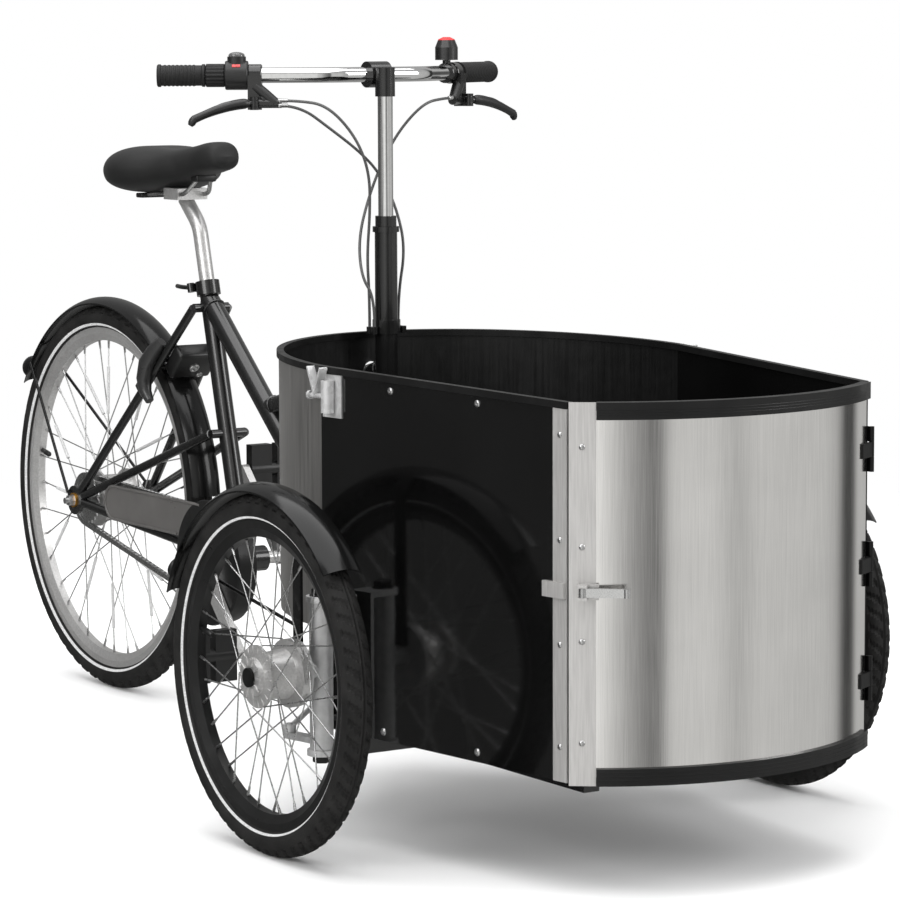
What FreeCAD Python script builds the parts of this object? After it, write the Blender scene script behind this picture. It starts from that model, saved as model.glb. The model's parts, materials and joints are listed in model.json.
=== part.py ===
import FreeCAD, Part
import math
import os
from types import SimpleNamespace

import Sketcher

# Cargo tricycle: two steered front wheels beside a loading box, one driven rear wheel.
# X points forward, Y to the rider's left, Z up. The origin lies on the ground under the middle of
# the length. Lengths are millimetres and angles are degrees.

Vector = FreeCAD.Vector
Rotation = FreeCAD.Rotation
Placement = FreeCAD.Placement
UP = Vector(0, 0, 1)
LEFT = Vector(0, 1, 0)
AHEAD = Vector(1, 0, 0)

SIZES = {
    # wheels and track
    "wheelbase": 1253,
    "box_half_width": 300,
    "wheel_beside_box": 125,
    "half_track": "=box_half_width + wheel_beside_box",
    "tyre_width": 41,
    "front_tyre_radius": 243,
    "front_rim_edge": 209,
    "front_rim_inner": 185,
    "rear_tyre_radius": 319.5,
    "rear_rim_edge": 285.5,
    "rear_rim_inner": 262,
    "rim_width": 25,
    "rim_lip": 6,
    "rim_wall": 1.7,
    "rim_depth": 12,
    "spoke_radius": 1,
    "spoke_stagger": 2.5,
    "running_gap": 0.05,
    "seat_gap": 0.3,
    # front hubs and stub axles
    "stub_radius": 8,
    "drum_radius": 46,
    "drum_side": 38,
    "drum_width": 12,
    "hub_core_radius": 30,
    "front_flange_radius": 42,
    "front_flange_at": 17,
    "front_flange_width": 4,
    "hub_outer": 30,
    "hub_cap_radius": 13,
    "hub_cap_width": 4,
    "brake_plate_width": 4,
    # rear hub and axle
    "rear_axle_radius": 5,
    "rear_hub_radius": 38,
    "rear_hub_half": 35,
    "rear_flange_radius": 46,
    "rear_flange_at": 26,
    "rear_flange_width": 4,
    "axle_nut_radius": 9,
    "axle_nut_width": 9,
    "axle_washer_radius": 12,
    "axle_washer_width": 2.5,
    # king pins and knuckles
    "kingpin_inset": 80,
    "kingpin_spread": "=half_track - kingpin_inset",
    "kingpin_radius": 8,
    "barrel_radius": 16,
    "bracket_low": 127,
    "bracket_high": 343,
    "lug_thickness": 8,
    "bracket_half_length": 20,
    "bracket_web": 6,
    "bracket_web_gap": 1,
    "bracket_web_at": "=box_half_width + bracket_web_gap",
    "stub_shoulder_radius": 12,
    "arm_reach": 65,
    "arm_spread": 12,
    "arm_gap": 6,
    "arm_thickness": 8,
    "arm_half_width": 9,
    "link_pin_radius": 4,
    "link_eye_radius": 9,
    "link_thickness": 10,
    "link_rod_radius": 4,
    # front mudguards
    "guard_gap": 12,
    "guard_thickness": 2.5,
    "front_guard_half_width": 28,
    "guard_crown": 10,
    "front_guard_back": 70,
    "front_guard_ahead": 50,
    "guard_strut_width": 20,
    "guard_strut_thickness": 4,
    "guard_wire_radius": 2.5,
    # rear mudguard
    "rear_guard_half_width": 25,
    "rear_guard_low_angle": 6,
    "rear_guard_end_angle": 148,
    # frame
    "bottom_bracket_back": 810,
    "bottom_bracket_height": 267,
    "bracket_shell_radius": 20,
    "bracket_shell_half": 34,
    "seat_top_back": 920,
    "seat_top_height": 692,
    "seat_tube_radius": 14.5,
    "seat_post_radius": 12,
    "main_tube_radius": 16,
    "main_tube_drop": 24,
    "main_tube_foot": 212,
    "tube_wall": 2,
    "branch_radius": 13,
    "branch_back": 738,
    "branch_meet_height": 602,
    "chain_stay_radius": 8,
    "seat_stay_radius": 7,
    "mid_stay_radius": 7,
    "mid_stay_rise": 195,
    "mid_stay_height": "=bottom_bracket_height + mid_stay_rise",
    "chain_stay_spread": 22,
    "stay_spread": 31,
    "seat_stay_drop": 36,
    "dropout_half": 66,
    "dropout_thickness": 6,
    "dropout_radius": 24,
    # steering
    "column_back": 385,
    "steerer_radius": 11,
    "head_low": 575,
    "head_high": 800,
    "head_radius": 16.5,
    "cup_height": 8,
    "cup_radius": 19.5,
    "locknut_height": 15,
    "locknut_radius": 15.5,
    "sleeve_radius": 20,
    "sleeve_low": 168,
    "sleeve_high": 280,
    "collar_height": 20,
    "collar_at": 652,
    "collar_radius": 20.5,
    "collar_stop_shift": 7,
    "collar_stop_gap": 6,
    "collar_bridge_width": 8,
    "keel_radius": 20,
    "keel_rear_height": 190,
    "keel_front_height": 112,
    "beam_height": 24,
    "beam_half_length": 20,
    "rail_width": 24,
    "rail_spread": 180,
    "rail_reach": 395,
    # handlebar
    "bar_height": 1028,
    "bar_back": 24,
    "bar_radius": 11,
    "bar_straight": 75,
    "bar_half_width": 287,
    "bar_sweep": 138,
    "bar_bend": 70,
    "bar_clamp_radius": 19,
    "bar_clamp_half": 17,
    "stem_socket_radius": 14.5,
    "stem_socket_height": 42,
    "stem_cap": 6,
    "grip_radius": 16.5,
    "right_grip_length": 70,
    "left_grip_length": 122,
    "sleeve_length": 28,
    "shifter_sleeve_radius": 17,
    "shifter_radius": 21,
    "shifter_length": 33,
    "lever_clamp_radius": 16,
    "lever_clamp_length": 20,
    "lever_pivot_ahead": 28,
    "lever_pivot_drop": 40,
    "lever_pin_radius": 3,
    "lever_thickness": 9,
    "lever_half_width": 5.5,
    "lever_length": 85,
    "lever_splay": 35,
    "lever_droop": 22,
    "lever_bend": 60,
    "lever_nose_length": 34,
    "lever_nose_radius": 7,
    "bell_radius": 17,
    "bell_height": 34,
    "bell_from_end": 150,
    "bell_post": 7,
    "cable_radius": 2.1,
    # saddle
    "saddle_length": 264,
    "saddle_nose_ahead": 70,
    "saddle_nose_back": "=seat_top_back - saddle_nose_ahead",
    "saddle_half_width": 98,
    "saddle_nose_half": 29,
    "saddle_above_tube": 216,
    "saddle_top": "=seat_top_height + saddle_above_tube",
    "saddle_depth": 74,
    "rail_wire_radius": 3.5,
    "rail_bend": 30,
    "saddle_rail_spread": 22,
    "post_inside": 150,
    "post_outside": 96,
    "post_setback": 45,
    "post_head_rise": 40,
    "post_bend": 60,
    "saddle_clamp_length": 46,
    "saddle_clamp_height": 18,
    "saddle_clamp_margin": 5,
    "clamp_ring_radius": 19,
    "clamp_ring_height": 22,
    "clamp_ring_above": 6,
    "clamp_lug_radius": 7,
    "clamp_lug_half": 12,
    "clamp_eye_radius": 6,
    "clamp_lever_radius": 3.5,
    "clamp_lever_length": 48,
    # drive
    "crank_length": 170,
    "crank_angle": 132.5,
    "crank_width": 24,
    "crank_thickness": 12,
    "right_crank_at": 71,
    "left_crank_at": 60,
    "spindle_radius": 10,
    "chain_line": 47,
    "chain_pitch": 12.7,
    "ring_teeth": 38,
    "sprocket_teeth": 20,
    "tooth_height": 5,
    "plate_thickness": 2.2,
    "chain_link_height": 8,
    "chain_plate": 1.2,
    "chain_inner_half": 2.6,
    "chain_roller_radius": 3.6,
    "guard_plate_at": 66.5,
    "chain_cover_thickness": 2,
    "chain_cover_rear": 340,
    "chain_cover_margin": 14,
    "chain_cover_height": 58,
    "pedal_gap": 3,
    "pedal_length": 84,
    "pedal_spindle_radius": 5,
    "pedal_core_radius": 11,
    "tread_height": 80,
    "tread_thickness": 18,
    "tread_gap": 10,
    # loading box
    "box_joint_back": 70,
    "box_corner_ahead": 427,
    "box_corner_half": 239,
    "box_rear_back": 430,
    "door_bulge": 88,
    "floor_under": 149,
    "floor_thickness": 8,
    "bench_under": 285,
    "panel_thickness": 4,
    "rim_front_height": 632,
    "rim_rear_height": 652,
    "rim_profile_height": 9,
    "rim_profile_wall": 3,
    "column_hole_gap": 3,
    "strip_thickness": 2,
    "strip_side_width": 26,
    "strip_door_width": 34,
    "strip_end_gap": 1.5,
    "door_thickness": 3,
    "door_end_gap": 7.5,
    "door_low": 146,
    "door_profile_height": 22,
    "door_profile_half": 7,
    "hinge_pin_radius": 1.6,
    "hinge_barrel_radius": 3.5,
    "hinge_length": 60,
    "hinge_offset": 5,
    "hinge_from_edge": 60,
    "hinge_leaf_thickness": 2.5,
    "hinge_leaf_width": 26,
    "latch_height": 394,
    "latch_size": 20,
    "latch_lever_length": 56,
    "latch_thickness": 6,
    "latch_from_end": 6,
    "latch_width": 26,
    "latch_ear": 12,
    "latch_ear_thickness": 4,
    "latch_pin_radius": 2,
    "latch_eye_radius": 5,
    "latch_knob_radius": 4.5,
    "latch_blade_half": 2.5,
    "keeper_length": 40,
    "canopy_plate_height": 58,
    "canopy_plate_length": 40,
    "canopy_tube_radius": 9,
    "canopy_bore_radius": 6,
    "canopy_tube_height": 44,
    "canopy_from_joint": 6,
    "wing_length": 40,
    "wing_width": 12,
    "wing_thickness": 3,
    "wing_lean": 25,
    "stud_radius": 3.5,
    "stud_length": 28,
    "stud_head_radius": 6,
    "stud_head_length": 5,
    # frame lock
    "lock_gap": 5,
    "lock_leg": 15,
    "lock_thickness": 17,
    "lock_leg_length": 76,
}

doc = FreeCAD.newDocument("CargoTricycle")
sheet = doc.addObject("Spreadsheet::Sheet", "Dims")
for row, (name, number) in enumerate(SIZES.items(), start=1):
    sheet.set(f"A{row}", name)
    sheet.set(f"B{row}", str(number))
    sheet.setAlias(f"B{row}", name)
doc.recompute()


class Size(float):
    """A number that also keeps the sheet expression it comes from."""

    def __new__(cls, value, text):
        size = float.__new__(cls, value)
        size.text = text
        return size

    def __add__(self, other):
        return Size(float(self) + float(other), f"({self.text} + {text_of(other)})")

    def __radd__(self, other):
        return Size(float(other) + float(self), f"({text_of(other)} + {self.text})")

    def __sub__(self, other):
        return Size(float(self) - float(other), f"({self.text} - {text_of(other)})")

    def __rsub__(self, other):
        return Size(float(other) - float(self), f"({text_of(other)} - {self.text})")

    def __mul__(self, other):
        return Size(float(self) * float(other), f"({self.text} * {text_of(other)})")

    def __rmul__(self, other):
        return Size(float(other) * float(self), f"({text_of(other)} * {self.text})")

    def __truediv__(self, other):
        return Size(float(self) / float(other), f"({self.text} / {text_of(other)})")

    def __neg__(self):
        return Size(-float(self), f"(-{self.text})")


def text_of(number):
    return number.text if isinstance(number, Size) else f"({float(number)})"


d = SimpleNamespace(**{name: Size(sheet.get(name), f"Dims.{name}") for name in SIZES})

subparts = []


def publish(label, obj):
    """Name a finished sub-part."""
    obj.Label = label
    subparts.append(obj)
    return obj


def gather(label, pieces):
    """Publish several separate solids as one sub-part."""
    whole = doc.addObject("Part::Compound", "Group")
    whole.Links = pieces
    return publish(label, whole)


def bind(obj, prop, size):
    """Set a property, tied to the sheet where the number comes from it."""
    if isinstance(size, Size):
        obj.setExpression(prop, size.text)
    else:
        setattr(obj, prop, size)


def turn_to(axis):
    return Rotation(UP, axis)


def cylinder(start, end, radius):
    """A round bar between two points."""
    bar = doc.addObject("Part::Cylinder", "Bar")
    bind(bar, "Radius", radius)
    bar.Height = (end - start).Length
    bar.Placement = Placement(start, turn_to(end - start))
    return bar


def upright(centre, height, radius):
    """A round bar standing on its centre point, its height tied to the sheet."""
    bar = doc.addObject("Part::Cylinder", "Post")
    bind(bar, "Radius", radius)
    bind(bar, "Height", height)
    bar.Placement = Placement(centre, Rotation())
    return bar


def block(corner, length, width, height):
    """A box from its lowest corner, its three sizes tied to the sheet."""
    box = doc.addObject("Part::Box", "Block")
    bind(box, "Length", length)
    bind(box, "Width", width)
    bind(box, "Height", height)
    box.Placement = Placement(corner, Rotation())
    return box


def fuse(pieces):
    joined = doc.addObject("Part::MultiFuse", "Fuse")
    joined.Shapes = pieces
    joined.Refine = True
    return joined


def cut(base, tools):
    result = doc.addObject("Part::Cut", "Cut")
    result.Base = base
    result.Tool = tools[0] if len(tools) == 1 else fuse(tools)
    result.Refine = True
    return result


def feature(shape, name="Shape"):
    obj = doc.addObject("Part::Feature", name)
    obj.Shape = shape
    return obj


def attach(body, plane):
    sketch = body.newObject("Sketcher::SketchObject", "Profile")
    origin = next(part for part in body.Origin.OriginFeatures if part.Role == plane)
    sketch.AttachmentSupport = [(origin, "")]
    sketch.MapMode = "FlatFace"
    return sketch


def draw_outline(sketch, points, arcs=None):
    """Draw a closed outline. arcs maps a point's index to the radius of the left-turning arc after it."""
    arcs = arcs or {}
    count = len(points)
    ends = []
    for index in range(count):
        start = Vector(points[index][0], points[index][1], 0)
        stop = Vector(points[(index + 1) % count][0], points[(index + 1) % count][1], 0)
        if index in arcs:
            radius = float(arcs[index])
            chord = stop - start
            rise = math.sqrt(max(radius ** 2 - (chord.Length / 2) ** 2, 0))
            side = Vector(-chord.y, chord.x, 0).normalize()
            centre = start + chord / 2 + side * rise
            first = math.atan2(start.y - centre.y, start.x - centre.x)
            last = math.atan2(stop.y - centre.y, stop.x - centre.x)
            circle = Part.Circle(centre, UP, radius)
            edge = sketch.addGeometry(Part.ArcOfCircle(circle, first, last))
            place = sketch.addConstraint(Sketcher.Constraint("Radius", edge, radius))
            if isinstance(arcs[index], Size):
                sketch.setExpression(f"Constraints[{place}]", arcs[index].text)
        else:
            edge = sketch.addGeometry(Part.LineSegment(start, stop))
        ends.append(edge)
    for index in range(count):
        sketch.addConstraint(Sketcher.Constraint("Coincident", ends[index - 1], 2, ends[index], 1))
        for kind, number in zip(("DistanceX", "DistanceY"), points[index]):
            limit = Sketcher.Constraint(kind, -1, 1, ends[index], 1, float(number))
            place = sketch.addConstraint(limit)
            if isinstance(number, Size):
                sketch.setExpression(f"Constraints[{place}]", number.text)


def turned(points, arcs=None):
    """A body turned about its own Y axis from an outline of radius and side position."""
    body = doc.addObject("PartDesign::Body", "Turned")
    sketch = attach(body, "XY_Plane")
    draw_outline(sketch, points, arcs)
    spin = body.newObject("PartDesign::Revolution", "Spin")
    spin.Profile = sketch
    spin.ReferenceAxis = (sketch, ["V_Axis"])
    spin.Angle = 360
    return body


def rounded_path(points, bend=None):
    """A wire of straight runs and tangent arcs, each of the bend radius or as large as its runs allow."""
    edges = []
    radii = []
    last = points[0]
    for index in range(1, len(points) - 1):
        here = points[index]
        back = points[index - 1] - here
        on = points[index + 1] - here
        turn = math.pi - back.getAngle(on)
        radius = 0.45 * min(back.Length, on.Length) / math.tan(turn / 2)
        if bend is not None:
            radius = min(radius, float(bend))
        trim = radius * math.tan(turn / 2)
        start = here + back.normalize() * trim
        stop = here + on.normalize() * trim
        toward = (start + stop) / 2 - here
        middle = here + toward.normalize() * (radius / math.cos(turn / 2) - radius)
        edges.append(Part.LineSegment(last, start).toShape())
        edges.append(Part.Arc(start, middle, stop).toShape())
        radii.append(radius)
        last = stop
    edges.append(Part.LineSegment(last, points[-1]).toShape())
    return Part.Wire(edges), radii


def swept_bar(points, radius, bend=None):
    """A round bar along a rounded path."""
    path, radii = rounded_path(points, bend)
    ring = Part.Wire(Part.Circle(points[0], points[1] - points[0], float(radius)).toShape())
    bar = path.makePipeShell([ring], True, False)
    return bar, path.Length, radii


def ring_sector(profile, centre, first, last):
    """Turn a section drawn as radius and side position about the Y axis through centre."""
    edges = []
    for kind, *corners in profile:
        spots = [Vector(radius, side, 0) for radius, side in corners]
        curve = Part.LineSegment(*spots) if kind == "line" else Part.Arc(*spots)
        edges.append(curve.toShape())
    face = Part.Face(Part.Wire(edges))
    solid = face.revolve(Vector(0, 0, 0), LEFT, -(last - first))
    solid.rotate(Vector(0, 0, 0), LEFT, -first)
    solid.translate(centre)
    return solid


# The origin lies midway between the rear tyre's back and the door's front.
front_reach = d.box_corner_ahead + d.door_bulge + d.door_profile_half
rear_reach = d.wheelbase + d.rear_tyre_radius
axle_x = (rear_reach - front_reach) / 2


def spot(ahead, left, height):
    """A point given from the ground under the front axle."""
    return Vector(axle_x + ahead, left, height)


SIDES = {"left": 1, "right": -1}


def beside(side):
    """The turn that maps the left side's piece to a side."""
    return Rotation() if SIDES[side] > 0 else Rotation(UP, 180)


# Wheels
def tyre(label, centre, radius, rim_edge):
    half = d.tyre_width / 2
    seat = rim_edge - d.rim_lip + d.running_gap
    bead = d.rim_width / 2 - d.rim_wall - d.running_gap
    neck = rim_edge + d.rim_wall
    body = turned(
        [
            (radius, 0),
            (radius - half, half),
            (neck, bead),
            (seat, bead),
            (seat, -bead),
            (neck, -bead),
            (radius - half, -half),
        ],
        {0: half, 6: half},
    )
    body.Placement = Placement(centre, Rotation())
    return publish(label, body)


def rim(label, centre, rim_edge, rim_inner):
    half = d.rim_width / 2
    channel = half - d.rim_wall
    seat = rim_edge - d.rim_lip
    shoulder = rim_edge - d.rim_depth
    nose = half - d.rim_lip
    body = turned(
        [
            (rim_edge, half),
            (rim_edge, channel),
            (seat, channel),
            (seat, -channel),
            (rim_edge, -channel),
            (rim_edge, -half),
            (shoulder, -half),
            (rim_inner, -nose),
            (rim_inner, nose),
            (shoulder, half),
        ]
    )
    body.Placement = Placement(centre, Rotation())
    return publish(label, body)


def spokes(label, centre, rim_inner, flanges):
    """Crossed spokes. flanges lists the side position and radius of the two hub flanges."""
    holes = 36
    cross = math.radians(60)
    step = 2 * math.pi / holes
    rods = []
    for hole in range(holes):
        flange_at, flange_radius = flanges[hole % 2]
        lead = 1 if (hole // 2) % 2 else -1
        rim_angle = hole * step
        hub_angle = rim_angle + lead * cross
        hub_r = flange_radius + d.spoke_radius + d.running_gap
        rim_r = rim_inner - d.spoke_radius * 0.4
        hub_side = flange_at + lead * d.spoke_stagger
        rim_side = (1 if flange_at > 0 else -1) * 2 + lead * d.spoke_radius
        start = Vector(hub_r * math.cos(hub_angle), hub_side, hub_r * math.sin(hub_angle))
        stop = Vector(rim_r * math.cos(rim_angle), rim_side, rim_r * math.sin(rim_angle))
        rods.append(Part.makeCylinder(float(d.spoke_radius), (stop - start).Length, start, stop - start))
    obj = feature(Part.makeCompound(rods), "Spokes")
    obj.Placement = Placement(centre, Rotation())
    return publish(label, obj)


def front_hub(label, centre, side):
    bore = d.stub_radius + d.running_gap
    drum_end = d.drum_width - d.drum_side
    flange_end = d.front_flange_at + d.front_flange_width
    body = turned(
        [
            (bore, d.hub_outer),
            (bore, -d.drum_side),
            (d.drum_radius, -d.drum_side),
            (d.drum_radius, drum_end),
            (d.hub_core_radius + 4, drum_end + 4),
            (d.hub_core_radius, d.front_flange_at - 2),
            (d.front_flange_radius, d.front_flange_at),
            (d.front_flange_radius, flange_end),
            (d.hub_core_radius - 4, flange_end + 2),
            (d.hub_core_radius - 6, d.hub_outer),
        ]
    )
    body.Placement = Placement(centre, beside(side))
    return publish(label, body)


def rear_hub(label, centre):
    bore = d.rear_axle_radius + d.running_gap
    flange_end = d.rear_flange_at + d.rear_flange_width
    body = turned(
        [
            (bore, d.rear_hub_half),
            (bore, -d.rear_hub_half),
            (d.rear_hub_radius - 8, -d.rear_hub_half),
            (d.rear_hub_radius, -flange_end),
            (d.rear_flange_radius, -flange_end),
            (d.rear_flange_radius, -d.rear_flange_at),
            (d.rear_hub_radius, -d.rear_flange_at),
            (d.rear_hub_radius, d.rear_flange_at),
            (d.rear_flange_radius, d.rear_flange_at),
            (d.rear_flange_radius, flange_end),
            (d.rear_hub_radius, flange_end),
            (d.rear_hub_radius - 8, d.rear_hub_half),
        ]
    )
    body.Placement = Placement(centre, Rotation())
    return publish(label, body)


for side, sign in SIDES.items():
    hub_centre = spot(0, sign * d.half_track, d.front_tyre_radius)
    tyre(f"front_tyre_{side}", hub_centre, d.front_tyre_radius, d.front_rim_edge)
    rim(f"front_rim_{side}", hub_centre, d.front_rim_edge, d.front_rim_inner)
    outer_flange = (sign * (d.front_flange_at + d.front_flange_width / 2), d.front_flange_radius)
    inner_flange = (sign * (d.drum_width / 2 - d.drum_side), d.drum_radius)
    spokes(f"front_spokes_{side}", hub_centre, d.front_rim_inner, [outer_flange, inner_flange])
    front_hub(f"front_hub_{side}", hub_centre, side)

rear_centre = spot(-d.wheelbase, 0, d.rear_tyre_radius)
tyre("rear_tyre", rear_centre, d.rear_tyre_radius, d.rear_rim_edge)
rim("rear_rim", rear_centre, d.rear_rim_edge, d.rear_rim_inner)
rear_flange_middle = d.rear_flange_at + d.rear_flange_width / 2
rear_flanges = [(rear_flange_middle, d.rear_flange_radius), (-rear_flange_middle, d.rear_flange_radius)]
spokes("rear_spokes", rear_centre, d.rear_rim_inner, rear_flanges)
rear_hub("rear_hub", rear_centre)


# Knuckles, king pins and steering links
hub_inner = d.half_track - d.drum_side
plate_face = hub_inner - d.seat_gap
barrel_low = d.bracket_low + d.lug_thickness + d.seat_gap
barrel_high = d.bracket_high - d.lug_thickness - d.seat_gap
arm_low = barrel_low + d.arm_gap
arm_top = arm_low + d.arm_thickness
link_low = arm_top + d.seat_gap
pin_length = d.arm_thickness + d.seat_gap + d.link_thickness + 2


def arm_plate(root, reach_points):
    """A flat steering arm whose outline is a chain of round ends."""
    discs = []
    for point in reach_points:
        discs.append(upright(root + point, d.arm_thickness, d.arm_half_width))
    webs = []
    for first, second in zip(reach_points, reach_points[1:]):
        run = second - first
        web = doc.addObject("Part::Box", "Web")
        web.Length = run.Length
        bind(web, "Width", d.arm_half_width * 2)
        bind(web, "Height", d.arm_thickness)
        turn = Rotation(AHEAD, run)
        web.Placement = Placement(root + first + turn.multVec(Vector(0, -float(d.arm_half_width), 0)), turn)
        webs.append(web)
    return discs + webs


def knuckle(side, sign):
    pivot = spot(0, sign * d.kingpin_spread, barrel_low)
    barrel = upright(pivot, barrel_high - barrel_low, d.barrel_radius)
    axle_height = d.front_tyre_radius
    shoulder = cylinder(
        spot(0, sign * d.kingpin_spread, axle_height),
        spot(0, sign * (plate_face - d.brake_plate_width / 2), axle_height),
        d.stub_shoulder_radius,
    )
    disc = cylinder(
        spot(0, sign * (plate_face - d.brake_plate_width), axle_height),
        spot(0, sign * plate_face, axle_height),
        d.drum_radius - 1,
    )
    stub = cylinder(
        spot(0, sign * d.kingpin_spread, axle_height),
        spot(0, sign * (d.half_track + d.hub_outer + d.seat_gap), axle_height),
        d.stub_radius,
    )
    cap = cylinder(
        spot(0, sign * (d.half_track + d.hub_outer + d.seat_gap), axle_height),
        spot(0, sign * (d.half_track + d.hub_outer + d.seat_gap + d.hub_cap_width), axle_height),
        d.hub_cap_radius,
    )
    arm_root = spot(0, sign * d.kingpin_spread, arm_low)
    arm_end = Vector(-d.arm_reach, sign * d.arm_spread, 0)
    arm = arm_plate(arm_root, [Vector(0, 0, 0), arm_end])
    link_pin = upright(arm_root + arm_end, pin_length, d.link_pin_radius)
    bore = upright(pivot - UP, barrel_high - barrel_low + 2, d.kingpin_radius + d.running_gap)
    whole = fuse([barrel, shoulder, disc, stub, cap, link_pin] + arm)
    return publish(f"knuckle_{side}", cut(whole, [bore]))


def kingpin_bracket(side, sign):
    web_face = d.bracket_web_at + d.bracket_web
    reach = d.kingpin_spread - d.bracket_web_at
    low_y = d.bracket_web_at if sign > 0 else -web_face
    web = block(
        spot(-d.bracket_half_length, low_y, d.bracket_low),
        d.bracket_half_length * 2,
        d.bracket_web,
        d.bracket_high - d.bracket_low,
    )
    pieces = [web]
    lug_y = d.bracket_web_at if sign > 0 else -d.kingpin_spread
    for low in (d.bracket_low, d.bracket_high - d.lug_thickness):
        pieces.append(
            block(
                spot(-d.bracket_half_length, lug_y, low),
                d.bracket_half_length * 2,
                reach,
                d.lug_thickness,
            )
        )
        pieces.append(
            upright(spot(0, sign * d.kingpin_spread, low), d.lug_thickness, d.bracket_half_length)
        )
    pin_spot = spot(0, sign * d.kingpin_spread, d.bracket_low)
    pieces.append(upright(pin_spot, d.bracket_high - d.bracket_low, d.kingpin_radius))
    return fuse(pieces)


def tie_rod(side, sign):
    inner = spot(-d.column_back - d.arm_reach, sign * d.arm_spread, link_low)
    outer = spot(-d.arm_reach, sign * (d.kingpin_spread + d.arm_spread), link_low)
    lift = UP * (d.link_thickness / 2)
    rod = cylinder(inner + lift, outer + lift, d.link_rod_radius)
    pieces = [rod]
    bores = []
    for end in (inner, outer):
        pieces.append(upright(end, d.link_thickness, d.link_eye_radius))
        bores.append(upright(end - UP, d.link_thickness + 2, d.link_pin_radius + d.running_gap))
    return publish(f"tie_rod_{side}", cut(fuse(pieces), bores))


for side, sign in SIDES.items():
    knuckle(side, sign)
    tie_rod(side, sign)
gather("kingpin_brackets", [kingpin_bracket(side, sign) for side, sign in SIDES.items()])


# Mudguards
def crowned_section(crown_radius, half_width):
    """A thin arched strip, drawn as radius and side position."""
    inner = crown_radius - d.guard_thickness
    edge = crown_radius - d.guard_crown
    edge_in = edge - d.guard_thickness
    return [
        ("arc", (edge, -half_width), (crown_radius, 0), (edge, half_width)),
        ("line", (edge, half_width), (edge_in, half_width)),
        ("arc", (edge_in, half_width), (inner, 0), (edge_in, -half_width)),
        ("line", (edge_in, -half_width), (edge, -half_width)),
    ]


def front_mudguard(side, sign):
    centre = spot(0, sign * d.half_track, d.front_tyre_radius)
    crown = d.front_tyre_radius + d.guard_gap + d.guard_thickness
    section = crowned_section(crown, d.front_guard_half_width)
    shell = ring_sector(section, centre, 90 - d.front_guard_ahead, 90 + d.front_guard_back)
    edge_radius = crown - d.guard_crown - d.guard_thickness / 2
    strut_out = plate_face - d.brake_plate_width - d.seat_gap
    strut_in = strut_out - d.guard_strut_thickness
    edge_y = d.half_track - d.front_guard_half_width
    edge_z = d.front_tyre_radius + edge_radius
    foot_z = d.front_tyre_radius + d.stub_shoulder_radius + 4
    knee_z = edge_z - 18
    outline = [
        (strut_in, foot_z),
        (strut_out, foot_z),
        (strut_out, knee_z),
        (edge_y + 3, edge_z - 2),
        (edge_y + 3, edge_z + 2),
        (edge_y - 3, edge_z + 2),
        (strut_in, knee_z + 4),
    ]
    corners = [spot(-d.guard_strut_width / 2, sign * y, z) for y, z in outline]
    strut = Part.Face(Part.makePolygon(corners + corners[:1])).extrude(AHEAD * float(d.guard_strut_width))
    tail = math.radians(90 + d.front_guard_back - 6)
    tail_spot = spot(
        edge_radius * math.cos(tail),
        sign * edge_y,
        d.front_tyre_radius + edge_radius * math.sin(tail),
    )
    wire_foot = spot(0, sign * strut_in, d.front_tyre_radius + d.drum_radius + 14)
    wire = Part.makeCylinder(
        float(d.guard_wire_radius), (tail_spot - wire_foot).Length, wire_foot, tail_spot - wire_foot
    )
    return publish(f"front_mudguard_{side}", feature(shell.fuse([strut, wire]).removeSplitter()))


for side, sign in SIDES.items():
    front_mudguard(side, sign)


# Frame
seat_foot = spot(-d.bottom_bracket_back, 0, d.bottom_bracket_height)
seat_top = spot(-d.seat_top_back, 0, d.seat_top_height)
seat_axis = (seat_top - seat_foot).normalize()
column = spot(-d.column_back, 0, 0)
main_head = seat_top - seat_axis * float(d.main_tube_drop)
main_foot = column + UP * float(d.main_tube_foot)
main_axis = (main_foot - main_head).normalize()
branch_share = (float(d.seat_top_back) - float(d.branch_back)) / (
    float(d.seat_top_back) - float(d.column_back)
)
branch_root = main_head + (main_foot - main_head) * branch_share
branch_end = column + UP * float(d.branch_meet_height)
spindle = [seat_foot + LEFT * float(reach) for reach in (-d.bracket_shell_half, d.bracket_shell_half)]


def frame_tubes():
    seat_outer = cylinder(seat_foot, seat_top, d.seat_tube_radius)
    seat_bore = cylinder(seat_foot, seat_top + seat_axis, d.seat_post_radius + d.running_gap)
    main_outer = cylinder(main_head, main_foot, d.main_tube_radius)
    main_bore = cylinder(main_head, main_foot - main_axis * 30, d.main_tube_radius - d.tube_wall)
    branch_outer = cylinder(branch_root, branch_end, d.branch_radius)
    shell_outer = cylinder(spindle[0], spindle[1], d.bracket_shell_radius)
    shell_bore = cylinder(spindle[0] - LEFT, spindle[1] + LEFT, d.spindle_radius + d.running_gap)
    head_outer = upright(column + UP * float(d.head_low), d.head_high - d.head_low, d.head_radius)
    head_bore = upright(
        column + UP * (float(d.head_low) - 1),
        d.head_high - d.head_low + 2,
        d.steerer_radius + d.tube_wall,
    )
    sleeve_cut = upright(column + UP * float(d.sleeve_low), d.sleeve_high - d.sleeve_low, d.sleeve_radius)
    outer = fuse([seat_outer, main_outer, branch_outer, shell_outer, head_outer])
    return publish("main_frame", cut(outer, [seat_bore, main_bore, shell_bore, head_bore, sleeve_cut]))


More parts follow.
